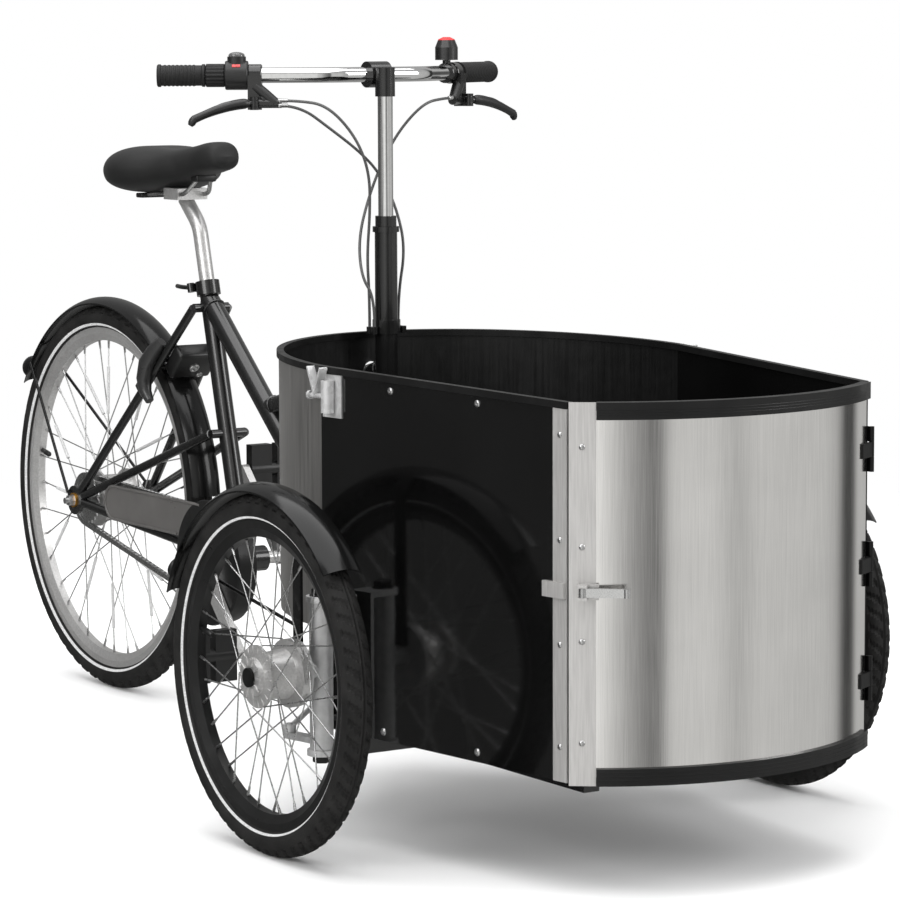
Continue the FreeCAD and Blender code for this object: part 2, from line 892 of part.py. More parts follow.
def undercarriage():
    """Lower steering bearing, keel tube, cross beam and floor rails in one weldment."""
    sleeve = upright(column + UP * float(d.sleeve_low), d.sleeve_high - d.sleeve_low, d.sleeve_radius)
    keel = cylinder(
        column + UP * float(d.keel_rear_height), spot(0, 0, d.keel_front_height), d.keel_radius
    )
    beam = block(
        spot(-d.beam_half_length, -d.bracket_web_at, d.floor_under - d.beam_height),
        d.beam_half_length * 2,
        d.bracket_web_at * 2,
        d.beam_height,
    )
    pieces = [sleeve, keel, beam]
    for sign in SIDES.values():
        pieces.append(
            block(
                spot(0, sign * d.rail_spread - d.rail_width / 2, d.floor_under - d.beam_height),
                d.rail_reach,
                d.rail_width,
                d.beam_height,
            )
        )
    bore = upright(
        column + UP * (float(d.sleeve_low) - 1),
        d.sleeve_high - d.sleeve_low + 2,
        d.steerer_radius + d.running_gap,
    )
    return publish("undercarriage", cut(fuse(pieces), [bore]))


def rear_stays():
    """Chain stays, seat stays, middle stays, their bridges and the two dropout plates."""
    pieces = []
    seat_join = seat_top - seat_axis * float(d.seat_stay_drop)
    mid_share = (float(d.mid_stay_height) - seat_foot.z) / (seat_top.z - seat_foot.z)
    mid_join = seat_foot + (seat_top - seat_foot) * mid_share
    for sign in SIDES.values():
        face = sign * d.dropout_half
        outside = sign * (d.dropout_half + d.dropout_thickness)
        middle = rear_centre + LEFT * float(sign * (d.dropout_half + d.dropout_thickness / 2))
        pieces.append(cylinder(rear_centre + LEFT * float(face), rear_centre + LEFT * float(outside),
                               d.dropout_radius))
        chain_end = seat_foot + LEFT * float(sign * d.chain_stay_spread)
        pieces.append(cylinder(middle, chain_end, d.chain_stay_radius))
        pieces.append(cylinder(middle, seat_join + LEFT * float(sign * d.stay_spread), d.seat_stay_radius))
        pieces.append(cylinder(middle, mid_join + LEFT * float(sign * d.stay_spread), d.mid_stay_radius))
    for join, radius in ((seat_join, d.seat_stay_radius), (mid_join, d.mid_stay_radius)):
        pieces.append(
            cylinder(join - LEFT * float(d.stay_spread), join + LEFT * float(d.stay_spread), radius)
        )
    guard_radius = d.rear_tyre_radius + d.guard_gap + d.guard_thickness + d.seat_gap + d.seat_stay_radius
    stay_run = seat_join - rear_centre
    share = float(guard_radius) / stay_run.Length
    half = float(d.dropout_half + d.dropout_thickness / 2)
    bridge_half = half + (float(d.stay_spread) - half) * share
    bridge = rear_centre + stay_run * share
    pieces.append(cylinder(bridge - LEFT * bridge_half, bridge + LEFT * bridge_half, d.seat_stay_radius))
    tools = [
        cylinder(seat_foot - seat_axis * 40, seat_top, d.seat_tube_radius),
        cylinder(main_head, main_foot, d.main_tube_radius),
        cylinder(spindle[0], spindle[1], d.bracket_shell_radius),
        cylinder(rear_centre - LEFT * 90, rear_centre + LEFT * 90, d.rear_axle_radius),
    ]
    for sign in SIDES.values():
        inside = rear_centre + LEFT * float(sign * d.dropout_half)
        tools.append(cylinder(rear_centre, inside, d.dropout_radius + 4))
        outside = rear_centre + LEFT * float(sign * (d.dropout_half + d.dropout_thickness))
        tools.append(cylinder(outside, outside + LEFT * float(sign * 20), d.dropout_radius + 4))
    return publish("rear_stays", cut(fuse(pieces), tools))


frame_tubes()
undercarriage()
rear_stays()


# Steering column, stem and handlebar
def steering_column():
    steerer_top = d.head_high + d.cup_height + d.seat_gap + d.locknut_height
    steerer = upright(column + UP * float(arm_low), steerer_top - arm_low, d.steerer_radius)
    locknut = upright(
        column + UP * float(d.head_high + d.cup_height + d.seat_gap), d.locknut_height, d.locknut_radius
    )
    arm_root = column + UP * float(arm_low)
    pieces = [steerer, locknut]
    for sign in SIDES.values():
        end = Vector(-d.arm_reach, sign * d.arm_spread, 0)
        pieces += arm_plate(arm_root, [Vector(0, 0, 0), end])
        pieces.append(upright(arm_root + end, pin_length, d.link_pin_radius))
    return publish("steering_column", fuse(pieces))


stem_low = d.head_high + d.cup_height + d.seat_gap + d.locknut_height
socket_top = d.bar_height + d.stem_socket_height / 4
socket_low = socket_top - d.stem_socket_height
bar_middle = column + Vector(-d.bar_back, 0, d.bar_height)


def stem():
    return publish(
        "stem",
        upright(column + UP * float(stem_low), socket_top - d.stem_cap - stem_low, d.steerer_radius),
    )


def handlebar_clamp():
    socket = upright(column + UP * float(socket_low), d.stem_socket_height, d.stem_socket_radius)
    grip = cylinder(
        bar_middle - LEFT * float(d.bar_clamp_half),
        bar_middle + LEFT * float(d.bar_clamp_half),
        d.bar_clamp_radius,
    )
    ear = block(
        bar_middle + Vector(-d.bar_clamp_radius - 8, -d.bar_clamp_half + 4, -8),
        d.bar_clamp_radius,
        d.bar_clamp_half * 2 - 8,
        16,
    )
    stem_bore = upright(
        column + UP * (float(socket_low) - 1), d.stem_socket_height - d.stem_cap + 1, d.steerer_radius
    )
    bar_bore = cylinder(bar_middle - LEFT * 60, bar_middle + LEFT * 60, d.bar_radius)
    return publish("handlebar_clamp", cut(fuse([socket, grip, ear]), [stem_bore, bar_bore]))


def bar_points(sign):
    """Middle, bend and end of one half of the handlebar."""
    bend = bar_middle + LEFT * float(sign * d.bar_straight)
    end = bar_middle + Vector(-d.bar_sweep, sign * d.bar_half_width, 0)
    return bend, end


bar_ends = {side: bar_points(sign) for side, sign in SIDES.items()}


def handlebar():
    route = [bar_ends["right"][1], bar_ends["right"][0], bar_ends["left"][0], bar_ends["left"][1]]
    outer, _, _ = swept_bar(route, d.bar_radius, d.bar_bend)
    inner, _, _ = swept_bar(route, d.bar_radius - d.tube_wall, d.bar_bend)
    return publish("handlebar", feature(outer.cut(inner), "Handlebar"))


def along_bar(side, from_end):
    """A point of the handlebar at a distance from its end, and the direction towards the end."""
    bend, end = bar_ends[side]
    outward = (end - bend).normalize()
    return end - outward * float(from_end), outward


def bar_ring(side, from_end, length, radius, bore):
    """A sleeve on the handlebar."""
    outer_spot, outward = along_bar(side, from_end)
    body = turned(
        [
            (bore, 0),
            (radius - 1, 0),
            (radius, 1.5),
            (radius, length - 1.5),
            (radius - 1, length),
            (bore, length),
        ]
    )
    body.Placement = Placement(outer_spot, Rotation(LEFT, outward * -1))
    return body


def grips():
    right = bar_ring("right", 0, d.right_grip_length, d.grip_radius, d.bar_radius)
    left = bar_ring("left", 0, d.left_grip_length, d.grip_radius, d.bar_radius)
    gather("grips", [left, right])


sleeve_start = d.right_grip_length + d.seat_gap
shifter_start = sleeve_start + d.sleeve_length + d.seat_gap
lever_start = {
    "right": shifter_start + d.shifter_length,
    "left": d.left_grip_length + 6,
}


def shifter():
    sleeve = bar_ring(
        "right", sleeve_start, d.sleeve_length, d.shifter_sleeve_radius, d.bar_radius + d.running_gap
    )
    publish("shifter_sleeve", sleeve)
    ring = bar_ring("right", shifter_start, d.shifter_length, d.shifter_radius, d.bar_radius)
    dome_spot, outward = along_bar("right", shifter_start + d.shifter_length / 2)
    dome_low = dome_spot + UP * float(d.bar_radius + 4)
    dome = upright(dome_low, d.shifter_radius - d.bar_radius + 2, d.shifter_length / 2 - 3)
    publish("shifter_body", fuse([ring, dome]))


def lever_frame(side):
    """Clamp middle, outward direction and forward direction of a brake lever."""
    middle, outward = along_bar(side, lever_start[side] + d.lever_clamp_length / 2)
    forward = outward.cross(UP) * SIDES[side]
    return middle, outward, forward


def lever_pivot(side):
    middle, outward, forward = lever_frame(side)
    ahead = float(d.lever_pivot_ahead)
    return middle + forward * ahead - UP * float(d.lever_pivot_drop)


def lever_nose_end(side):
    """The inner end of a lever's housing, where the cables leave it."""
    middle, outward, forward = lever_frame(side)
    level = middle + forward * float(d.lever_clamp_radius) - UP * float(d.lever_pivot_drop)
    return level - outward * float(d.lever_nose_length)


def lever_brackets():
    pieces = []
    for side in SIDES:
        middle, outward, forward = lever_frame(side)
        ring = bar_ring(side, lever_start[side], d.lever_clamp_length, d.lever_clamp_radius, d.bar_radius)
        pivot = lever_pivot(side)
        slot_half = d.lever_thickness / 2 + d.seat_gap
        cheek = d.lever_half_width - 1
        arms = []
        for level in (1, -1):
            low = pivot + UP * float(slot_half if level > 0 else -slot_half - cheek)
            arms.append(upright(low, cheek, d.lever_half_width + 1))
            toward = middle - pivot
            toward.z = 0
            bar = doc.addObject("Part::Box", "Cheek")
            bar.Length = toward.Length - float(d.lever_clamp_radius) + 4
            bind(bar, "Width", d.lever_half_width * 2)
            bind(bar, "Height", cheek)
            turn = Rotation(AHEAD, toward)
            bar.Placement = Placement(low + turn.multVec(Vector(0, -float(d.lever_half_width), 0)), turn)
            arms.append(bar)
        pin = upright(pivot - UP * float(slot_half + cheek), (slot_half + cheek) * 2, d.lever_pin_radius)
        back_height = d.lever_pivot_drop + slot_half + cheek
        back = block(Vector(0, 0, 0), d.lever_half_width * 2, d.lever_clamp_length, back_height)
        turn = Rotation(AHEAD, forward)
        corner = Vector(d.lever_clamp_radius / 2, -d.lever_clamp_length / 2, -back_height)
        back.Placement = Placement(middle + turn.multVec(corner), turn)
        nose_end = lever_nose_end(side)
        nose_start = nose_end + outward * float(d.lever_nose_length - d.lever_half_width)
        nose = cylinder(nose_start, nose_end, d.lever_nose_radius)
        bore = cylinder(
            middle - outward * float(d.lever_clamp_length),
            middle + outward * float(d.lever_clamp_length),
            d.bar_radius,
        )
        pieces.append(cut(fuse([ring, pin, back, nose] + arms), [bore]))
    return pieces


def brake_lever(side):
    """A lever blade that reaches outwards in front of the grip, on its pin."""
    middle, outward, forward = lever_frame(side)
    pivot = lever_pivot(side)
    reach = float(d.lever_length)
    lift = UP * float(d.lever_thickness / 2)
    splay = forward * float(d.lever_splay)
    knee = pivot + outward * (reach * 0.45) + splay * 0.55
    tip = pivot + outward * reach + splay - UP * float(d.lever_droop)
    blade, _, _ = swept_bar([pivot, knee, tip], d.lever_half_width - 1, d.lever_bend)
    eye = Part.makeCylinder(float(d.lever_half_width + 1), float(d.lever_thickness), pivot - lift, UP)
    knob = Part.makeSphere(float(d.lever_half_width), tip)
    bore = Part.makeCylinder(
        float(d.lever_pin_radius + d.running_gap), float(d.lever_thickness) * 3, pivot - lift * 3, UP
    )
    publish(f"brake_lever_{side}", feature(blade.fuse([eye, knob]).cut(bore), "Lever"))


def bell():
    base_spot, outward = along_bar("left", d.bell_from_end)
    ring = bar_ring("left", d.bell_from_end, d.bell_post * 2, d.bar_radius + 4, d.bar_radius)
    middle = base_spot - outward * float(d.bell_post)
    post_low = middle + UP * float(d.bar_radius + 1)
    post = upright(post_low, d.bell_post, d.bell_post - 1)
    pin = upright(post_low, d.bell_post + d.bell_height / 2, d.lever_pin_radius)
    base = fuse([ring, post, pin])
    low = post_low + UP * float(d.bell_post + d.seat_gap)
    cover = turned(
        [
            (d.lever_pin_radius + d.running_gap, 0),
            (d.bell_radius, 0),
            (d.bell_radius, d.bell_height * 0.55),
            (d.bell_radius * 0.72, d.bell_height * 0.9),
            (d.bell_radius * 0.3, d.bell_height),
            (0, d.bell_height),
            (0, d.bell_height * 0.6),
            (d.lever_pin_radius + d.running_gap, d.bell_height * 0.6),
        ]
    )
    cover.Placement = Placement(low, Rotation(LEFT, UP))
    publish("bell", cover)
    return base


steering_column()
stem()
handlebar_clamp()
handlebar()
grips()
shifter()
gather("bar_clamps", lever_brackets() + [bell()])
for side in SIDES:
    brake_lever(side)


# Headset cups and the cable collar
def headset():
    cups = []
    for low in (d.head_high, d.head_low - d.cup_height):
        ring = upright(column + UP * float(low), d.cup_height, d.cup_radius)
        hole = upright(
            column + UP * (float(low) - 1), d.cup_height + 2, d.steerer_radius + d.running_gap
        )
        cups.append(cut(ring, [hole]))
    return cups


collar_stop = d.head_radius + d.cable_radius + d.collar_stop_gap


def cable_collar():
    ring = upright(column + UP * float(d.collar_at), d.collar_height, d.collar_radius)
    stops = []
    for sign in SIDES.values():
        for shift in (-1, 1):
            place = column + Vector(shift * d.collar_stop_shift, sign * collar_stop, d.collar_at)
            stops.append(upright(place, d.collar_height / 2, d.cable_radius + 2.5))
        bridge = block(
            column + Vector(
                -d.collar_stop_shift,
                sign * (collar_stop - d.cable_radius) - d.collar_bridge_width / 2,
                d.collar_at,
            ),
            d.collar_stop_shift * 2,
            d.collar_bridge_width,
            d.collar_height / 2,
        )
        stops.append(bridge)
    hole = upright(column + UP * (float(d.collar_at) - 1), d.collar_height + 2, d.head_radius)
    return cut(fuse([ring] + stops), [hole])


gather("headset", headset() + [cable_collar()])


# Seat post, clamp and saddle
def seat_post():
    inside = seat_top - seat_axis * float(d.post_inside)
    knee = seat_top + seat_axis * float(d.post_outside)
    head = knee + Vector(-d.post_setback, 0, d.post_head_rise)
    post, _, _ = swept_bar([inside, knee, head], d.seat_post_radius, d.post_bend)
    clamp = Part.makeBox(
        float(d.saddle_clamp_length),
        float(d.saddle_rail_spread + d.saddle_clamp_margin) * 2,
        float(d.saddle_clamp_height),
        head + Vector(-d.saddle_clamp_length / 2, -d.saddle_rail_spread - d.saddle_clamp_margin, 0),
    )
    rail_bores = []
    for sign in SIDES.values():
        start = head + Vector(-d.saddle_clamp_length, sign * d.saddle_rail_spread, d.saddle_clamp_height / 2)
        rail_bores.append(
            Part.makeCylinder(float(d.rail_wire_radius), float(d.saddle_clamp_length * 2), start, AHEAD)
        )
    publish("seat_post", feature(post.fuse(clamp).cut(Part.makeCompound(rail_bores)), "SeatPost"))
    return head


seat_head = seat_post()
rail_height = seat_head.z + float(d.saddle_clamp_height / 2)
saddle_back = -d.saddle_nose_back - d.saddle_length


def saddle_section(ahead, half, top, depth):
    """One closed section across the saddle, of two side arcs, a crown and a flat underside."""
    low = top - depth
    flank = top - depth * 0.22
    corners = {
        "low_right": spot(ahead, -half * 0.72, low),
        "low_left": spot(ahead, half * 0.72, low),
        "top_left": spot(ahead, half * 0.74, flank),
        "top_right": spot(ahead, -half * 0.74, flank),
    }
    left = Part.Arc(corners["low_left"], spot(ahead, half, top - depth * 0.6), corners["top_left"])
    crown = Part.Arc(corners["top_left"], spot(ahead, 0, top), corners["top_right"])
    right = Part.Arc(corners["top_right"], spot(ahead, -half, top - depth * 0.6), corners["low_right"])
    base = Part.LineSegment(corners["low_right"], corners["low_left"])
    return Part.Wire([curve.toShape() for curve in (base, left, crown, right)])


# Share of the length from the tail, half width as a share of its tail or nose value, crest above the
# saddle's top and depth of the section, both as shares of the saddle's depth
SADDLE_TAIL = (
    (0.0, 0.62, -0.16, 0.50),
    (0.05, 0.88, -0.05, 0.88),
    (0.18, 1.0, 0.0, 1.0),
    (0.36, 0.86, -0.02, 0.84),
)
SADDLE_NOSE = (
    (0.54, 1.86, -0.03, 0.68),
    (0.72, 1.3, 0.06, 0.62),
    (0.88, 1.05, 0.15, 0.62),
    (0.97, 0.8, 0.07, 0.48),
    (1.0, 0.5, -0.04, 0.28),
)
RAIL_TAIL = SADDLE_TAIL[2]
RAIL_NOSE = SADDLE_NOSE[1]


def saddle():
    """A padded saddle: wide tail, drawn-in waist and rising nose."""
    wires = []
    for full_half, stations in ((d.saddle_half_width, SADDLE_TAIL), (d.saddle_nose_half, SADDLE_NOSE)):
        for share, width, crest, deep in stations:
            ahead = saddle_back + d.saddle_length * share
            top = d.saddle_top + d.saddle_depth * crest
            wires.append(saddle_section(ahead, full_half * width, top, d.saddle_depth * deep))
    publish("saddle", feature(Part.makeLoft(wires, True, False), "Saddle"))


def under_saddle(station):
    """Height of a rail's middle just under the saddle at one of its sections."""
    share, width, crest, deep = station
    return d.saddle_top + d.saddle_depth * (crest - deep) - d.rail_wire_radius - d.seat_gap


def saddle_rails():
    """Two wire rails from the saddle's tail to its nose, through the clamp."""
    rails = []
    tail_x = saddle_back + d.saddle_length * RAIL_TAIL[0]
    nose_x = saddle_back + d.saddle_length * RAIL_NOSE[0]
    clamp_x = seat_head.x - axle_x
    for sign in SIDES.values():
        wide = sign * d.saddle_rail_spread
        route = [
            spot(tail_x, sign * d.saddle_rail_spread * 1.5, under_saddle(RAIL_TAIL)),
            spot(clamp_x - d.saddle_clamp_length, wide, rail_height),
            spot(clamp_x + d.saddle_clamp_length * 0.8, wide, rail_height),
            spot(nose_x, sign * d.saddle_nose_half * 0.35, under_saddle(RAIL_NOSE)),
        ]
        rail, _, _ = swept_bar(route, d.rail_wire_radius, d.rail_bend)
        rails.append(rail)
    publish("saddle_rails", feature(Part.makeCompound(rails), "Rails"))


def seat_clamp():
    high = seat_top + seat_axis * float(d.clamp_ring_above)
    low = high - seat_axis * float(d.clamp_ring_height)
    ring = cylinder(low, high, d.clamp_ring_radius)
    bore = cylinder(low - seat_axis, high + seat_axis, d.seat_tube_radius)
    lug_spot = (low + high) / 2 - AHEAD * float(d.clamp_ring_radius + d.clamp_lug_radius / 2)
    lug_reach = LEFT * float(d.clamp_lug_half)
    lug = cylinder(lug_spot - lug_reach, lug_spot + lug_reach, d.clamp_lug_radius)
    publish("seat_clamp", cut(fuse([ring, lug]), [bore]))
    pivot = lug_spot - LEFT * float(d.clamp_lug_half + d.seat_gap + d.clamp_eye_radius)
    eye_half = seat_axis * float(d.clamp_lug_radius)
    eye = Part.makeCylinder(
        float(d.clamp_eye_radius), float(d.clamp_lug_radius * 2), pivot - eye_half, seat_axis
    )
    reach = AHEAD * float(d.clamp_lever_length)
    bow = LEFT * float(d.clamp_lever_radius)
    route = [pivot, pivot - bow - reach * 0.5, pivot + bow * 0.5 - reach]
    blade, _, _ = swept_bar(route, d.clamp_lever_radius, d.clamp_lever_length)
    publish("clamp_lever", feature(eye.fuse(blade), "ClampLever"))
    return pivot


saddle()
saddle_rails()
clamp_pivot = seat_clamp()


# Drive
def pitch_radius(teeth):
    return float(d.chain_pitch) / (2 * math.sin(math.pi / float(teeth)))


def toothed_outline(teeth):
    """A toothed disc's outline about the origin, with flat-topped teeth."""
    outline = []
    root = pitch_radius(teeth) - float(d.chain_roller_radius)
    tip = root + float(d.tooth_height)
    step = 2 * math.pi / float(teeth)
    for tooth in range(round(float(teeth))):
        middle = tooth * step
        for share, radius in ((-0.36, root), (-0.12, tip), (0.12, tip), (0.36, root)):
            angle = middle + share * step
            outline.append(Vector(radius * math.cos(angle), 0, radius * math.sin(angle)))
    return outline


def toothed_disc(teeth, centre, side_at):
    corners = toothed_outline(teeth)
    face = Part.Face(Part.makePolygon(corners + corners[:1]))
    disc = face.extrude(LEFT * float(d.plate_thickness))
    disc.translate(centre + LEFT * (float(side_at) - float(d.plate_thickness) / 2))
    return disc


crank_turn = math.radians(float(d.crank_angle))
left_crank = Vector(math.cos(crank_turn), 0, math.sin(crank_turn)) * float(d.crank_length)
crank_spots = {"left": seat_foot + left_crank, "right": seat_foot - left_crank}
crank_sides = {"left": d.left_crank_at, "right": d.right_crank_at}


def crank_arm(side, sign):
    root = seat_foot + LEFT * float(sign * crank_sides[side])
    tip = crank_spots[side] + LEFT * float(sign * crank_sides[side])
    through = LEFT * float(sign * d.crank_thickness)
    run = tip - root
    half = float(d.crank_width) / 2
    across = run.cross(LEFT).normalize() * half
    slim = across * 0.75
    corners = [root + across, tip + slim, tip - slim, root - across]
    web = Part.Face(Part.makePolygon(corners + corners[:1])).extrude(through)
    pieces = [
        Part.makeCylinder(half, through.Length, root, through),
        Part.makeCylinder(half * 0.75, through.Length, tip, through),
    ]
    inner_face = crank_sides[side] + d.crank_thickness
    pedal_length = d.pedal_gap + d.pedal_length + 1
    pieces.append(
        Part.makeCylinder(
            float(d.pedal_spindle_radius),
            float(pedal_length),
            crank_spots[side] + LEFT * float(sign * inner_face),
            LEFT * sign,
        )
    )
    return web.fuse(pieces)


def crankset():
    spindle_low = seat_foot - LEFT * float(d.right_crank_at)
    spindle_run = d.right_crank_at + d.left_crank_at
    shaft = Part.makeCylinder(float(d.spindle_radius), float(spindle_run), spindle_low, LEFT)
    ring = toothed_disc(d.ring_teeth, seat_foot, -d.chain_line)
    windows = []
    ring_inner = pitch_radius(d.ring_teeth) - 16
    for arm in range(5):
        angle = 2 * math.pi * arm / 5
        place = seat_foot + Vector(math.cos(angle), 0, math.sin(angle)) * (ring_inner * 0.66)
        window_start = place - LEFT * float(d.chain_line + 10)
        windows.append(Part.makeCylinder(ring_inner * 0.26, 20, window_start, LEFT))
    ring = ring.cut(Part.makeCompound(windows))
    arms = [crank_arm(side, sign) for side, sign in SIDES.items()]
    publish("crankset", feature(shaft.fuse([ring] + arms), "Crankset"))


def pedal(side, sign):
    """A pedal standing on edge: a core on its spindle with two rubber-faced blocks."""
    start = d.pedal_gap + crank_sides[side] + d.crank_thickness
    root = crank_spots[side] + LEFT * float(sign * start)
    core = Part.makeCylinder(float(d.pedal_core_radius), float(d.pedal_length), root, LEFT * sign)
    tread_width = (d.pedal_length - d.tread_gap) / 2
    treads = []
    for index in range(2):
        inner = start + index * (tread_width + d.tread_gap)
        low = sign * inner if sign > 0 else -(inner + tread_width)
        corner = Vector(
            crank_spots[side].x - float(d.tread_thickness / 2),
            low,
            crank_spots[side].z - float(d.tread_height / 2),
        )
        treads.append(
            Part.makeBox(float(d.tread_thickness), float(tread_width), float(d.tread_height), corner)
        )
    bore = Part.makeCylinder(
        float(d.pedal_spindle_radius + d.running_gap), float(d.pedal_length) + 2, root - LEFT * sign,
        LEFT * sign,
    )
    publish(f"pedal_{side}", feature(core.fuse(treads).cut(bore), "Pedal"))


def sprocket():
    disc = toothed_disc(d.sprocket_teeth, rear_centre, -d.chain_line)
    driver_start = d.rear_hub_half + d.seat_gap
    driver_end = d.chain_line + d.plate_thickness
    driver = Part.makeCylinder(
        18, float(driver_end - driver_start), rear_centre - LEFT * float(driver_end), LEFT
    )
    bore = Part.makeCylinder(
        float(d.rear_axle_radius + d.running_gap), 80, rear_centre - LEFT * 90, LEFT
    )
    publish("sprocket", feature(disc.fuse(driver).cut(bore), "Sprocket"))
    return driver_end


driver_end = sprocket()


def loop_wire(ring_radius, sprocket_radius):
    """A closed belt line round the chain ring and the sprocket, in the wheel's plane."""
    run = seat_foot - rear_centre
    span = run.Length
    lean = math.asin((ring_radius - sprocket_radius) / span)
    base = math.atan2(run.z, run.x)
    edges = []
    ends = []
    for sign in (1, -1):
        angle = base + sign * (math.pi / 2 + lean)
        way = Vector(math.cos(angle), 0, math.sin(angle))
        ends.append((rear_centre + way * sprocket_radius, seat_foot + way * ring_radius))
    away = run.normalize()
    edges.append(Part.LineSegment(ends[0][0], ends[0][1]).toShape())
    edges.append(Part.Arc(ends[0][1], seat_foot + away * ring_radius, ends[1][1]).toShape())
    edges.append(Part.LineSegment(ends[1][1], ends[1][0]).toShape())
    edges.append(Part.Arc(ends[1][0], rear_centre - away * sprocket_radius, ends[0][0]).toShape())
    return Part.Wire(edges), ends


def chain():
    """Two rows of side plates with rollers between them on the free runs."""
    half = float(d.chain_link_height) / 2
    ring_r = pitch_radius(d.ring_teeth)
    sprocket_r = pitch_radius(d.sprocket_teeth)
    outer, _ = loop_wire(ring_r + half, sprocket_r + half)
    inner, _ = loop_wire(ring_r - half, sprocket_r - half)
    rows = []
    for low in (
        -d.chain_line - d.chain_inner_half - d.chain_plate,
        -d.chain_line + d.chain_inner_half,
    ):
        belt = Part.Face(outer).extrude(LEFT * float(d.chain_plate))
        belt = belt.cut(Part.Face(inner).extrude(LEFT * float(d.chain_plate)))
        belt.translate(LEFT * float(low))
        rows.append(belt)
    _, runs = loop_wire(ring_r, sprocket_r)
    rollers = []
    clear = float(d.chain_pitch) * 3
    for start, stop in runs:
        way = (stop - start).normalize()
        count = int(((stop - start).Length - 2 * clear) / float(d.chain_pitch))
        for link in range(count + 1):
            place = start + way * (clear + link * float(d.chain_pitch))
            rollers.append(
                Part.makeCylinder(
                    float(d.chain_roller_radius),
                    float(d.chain_inner_half) * 2,
                    place - LEFT * float(d.chain_line + d.chain_inner_half),
                    LEFT,
                )
            )
    publish("chain", feature(rows[0].fuse([rows[1]] + rollers), "Chain"))


def chain_cover():
    """A long plate outside the chain's upper run with a round front over the chain ring."""
    ring_r = pitch_radius(d.ring_teeth) + float(d.chain_cover_margin)
    face_at = -float(d.guard_plate_at) - float(d.chain_cover_thickness)
    top = seat_foot.z + ring_r
    tail_x = seat_foot.x - float(d.chain_cover_rear)
    low = top - float(d.chain_cover_height)
    nose = float(d.chain_cover_height) / 2
    level = Vector(0, face_at, 0)
    corners = [
        Vector(seat_foot.x, 0, top),
        Vector(tail_x + nose, 0, top),
        Vector(tail_x, 0, top - nose),
        Vector(tail_x + nose, 0, low),
        Vector(seat_foot.x - math.sqrt(ring_r ** 2 - (low - seat_foot.z) ** 2), 0, low),
        Vector(seat_foot.x, 0, seat_foot.z - ring_r),
        Vector(seat_foot.x + ring_r, 0, seat_foot.z),
    ]
    edges = [
        Part.LineSegment(corners[0], corners[1]).toShape(),
        Part.Arc(corners[1], corners[2], corners[3]).toShape(),
        Part.LineSegment(corners[3], corners[4]).toShape(),
        Part.Arc(
            corners[4],
            seat_foot + Vector(math.cos(math.radians(215)), 0, math.sin(math.radians(215))) * ring_r,
            corners[5],
        ).toShape(),
        Part.Arc(corners[5], corners[6], corners[0]).toShape(),
    ]
    sheet_face = Part.Face(Part.Wire(edges))
    cover = sheet_face.extrude(LEFT * float(d.chain_cover_thickness))
    cover.translate(level)
    hole = Part.makeCylinder(float(d.crank_width) / 2 + 6, 20, seat_foot + level - LEFT * 5, LEFT)
    cover = cover.cut(hole)
    clips = []
    stay_start = rear_centre - LEFT * float(d.dropout_half + d.dropout_thickness / 2)
    stay_end = seat_foot - LEFT * float(d.chain_stay_spread)
    for share in (0.36, 0.72):
        stay = stay_start + (stay_end - stay_start) * share
        clip_top = stay.y - float(d.chain_stay_radius) - float(d.seat_gap) * 2
        run = clip_top - face_at
        foot = Vector(stay.x, face_at, max(stay.z, low + 6))
        clips.append(Part.makeCylinder(5, run, foot, LEFT))
    publish("chain_cover", feature(cover.fuse(clips), "ChainCover"))


crankset()
for side, sign in SIDES.items():
    pedal(side, sign)
chain()
chain_cover()


def rear_axle():
    """The fixed axle with its inner cones, washers and nuts."""
    outside = d.dropout_half + d.dropout_thickness
    total = outside + d.axle_washer_width + d.axle_nut_width + 6
    rod = cylinder(rear_centre - LEFT * float(total), rear_centre + LEFT * float(total), d.rear_axle_radius)
    pieces = [rod]
    for sign, start in ((1, d.rear_hub_half + d.seat_gap), (-1, driver_end + d.seat_gap)):
        pieces.append(
            cylinder(
                rear_centre + LEFT * float(sign * start),
                rear_centre + LEFT * float(sign * d.dropout_half),
                d.axle_nut_radius,
            )
        )
        pieces.append(
            cylinder(
                rear_centre + LEFT * float(sign * outside),
                rear_centre + LEFT * float(sign * (outside + d.axle_washer_width)),
                d.axle_washer_radius,
            )
        )
        nut_start = outside + d.axle_washer_width
        nut = doc.addObject("Part::Prism", "Nut")
        nut.Polygon = 6
        bind(nut, "Circumradius", d.axle_nut_radius)
        bind(nut, "Height", d.axle_nut_width)
        nut.Placement = Placement(rear_centre + LEFT * float(sign * nut_start), turn_to(LEFT * sign))
        pieces.append(nut)
    publish("rear_axle", fuse(pieces))


def rear_mudguard():
    crown = d.rear_tyre_radius + d.guard_gap + d.guard_thickness
    section = crowned_section(crown, d.rear_guard_half_width)
    shell = ring_sector(section, rear_centre, d.rear_guard_low_angle, d.rear_guard_end_angle)
    edge_radius = crown - d.guard_crown - d.guard_thickness / 2
    tail = math.radians(float(d.rear_guard_end_angle) - 8)
    wires = []
    for sign in SIDES.values():
        foot_y = sign * (d.dropout_half + d.dropout_thickness + d.guard_wire_radius * 1.5)
        foot = rear_centre + Vector(-15, foot_y, 12)
        end = rear_centre + Vector(
            edge_radius * math.cos(tail), sign * d.rear_guard_half_width, edge_radius * math.sin(tail)
        )
        wires.append(Part.makeCylinder(float(d.guard_wire_radius), (end - foot).Length, foot, end - foot))
    publish("rear_mudguard", feature(shell.fuse(wires), "RearMudguard"))


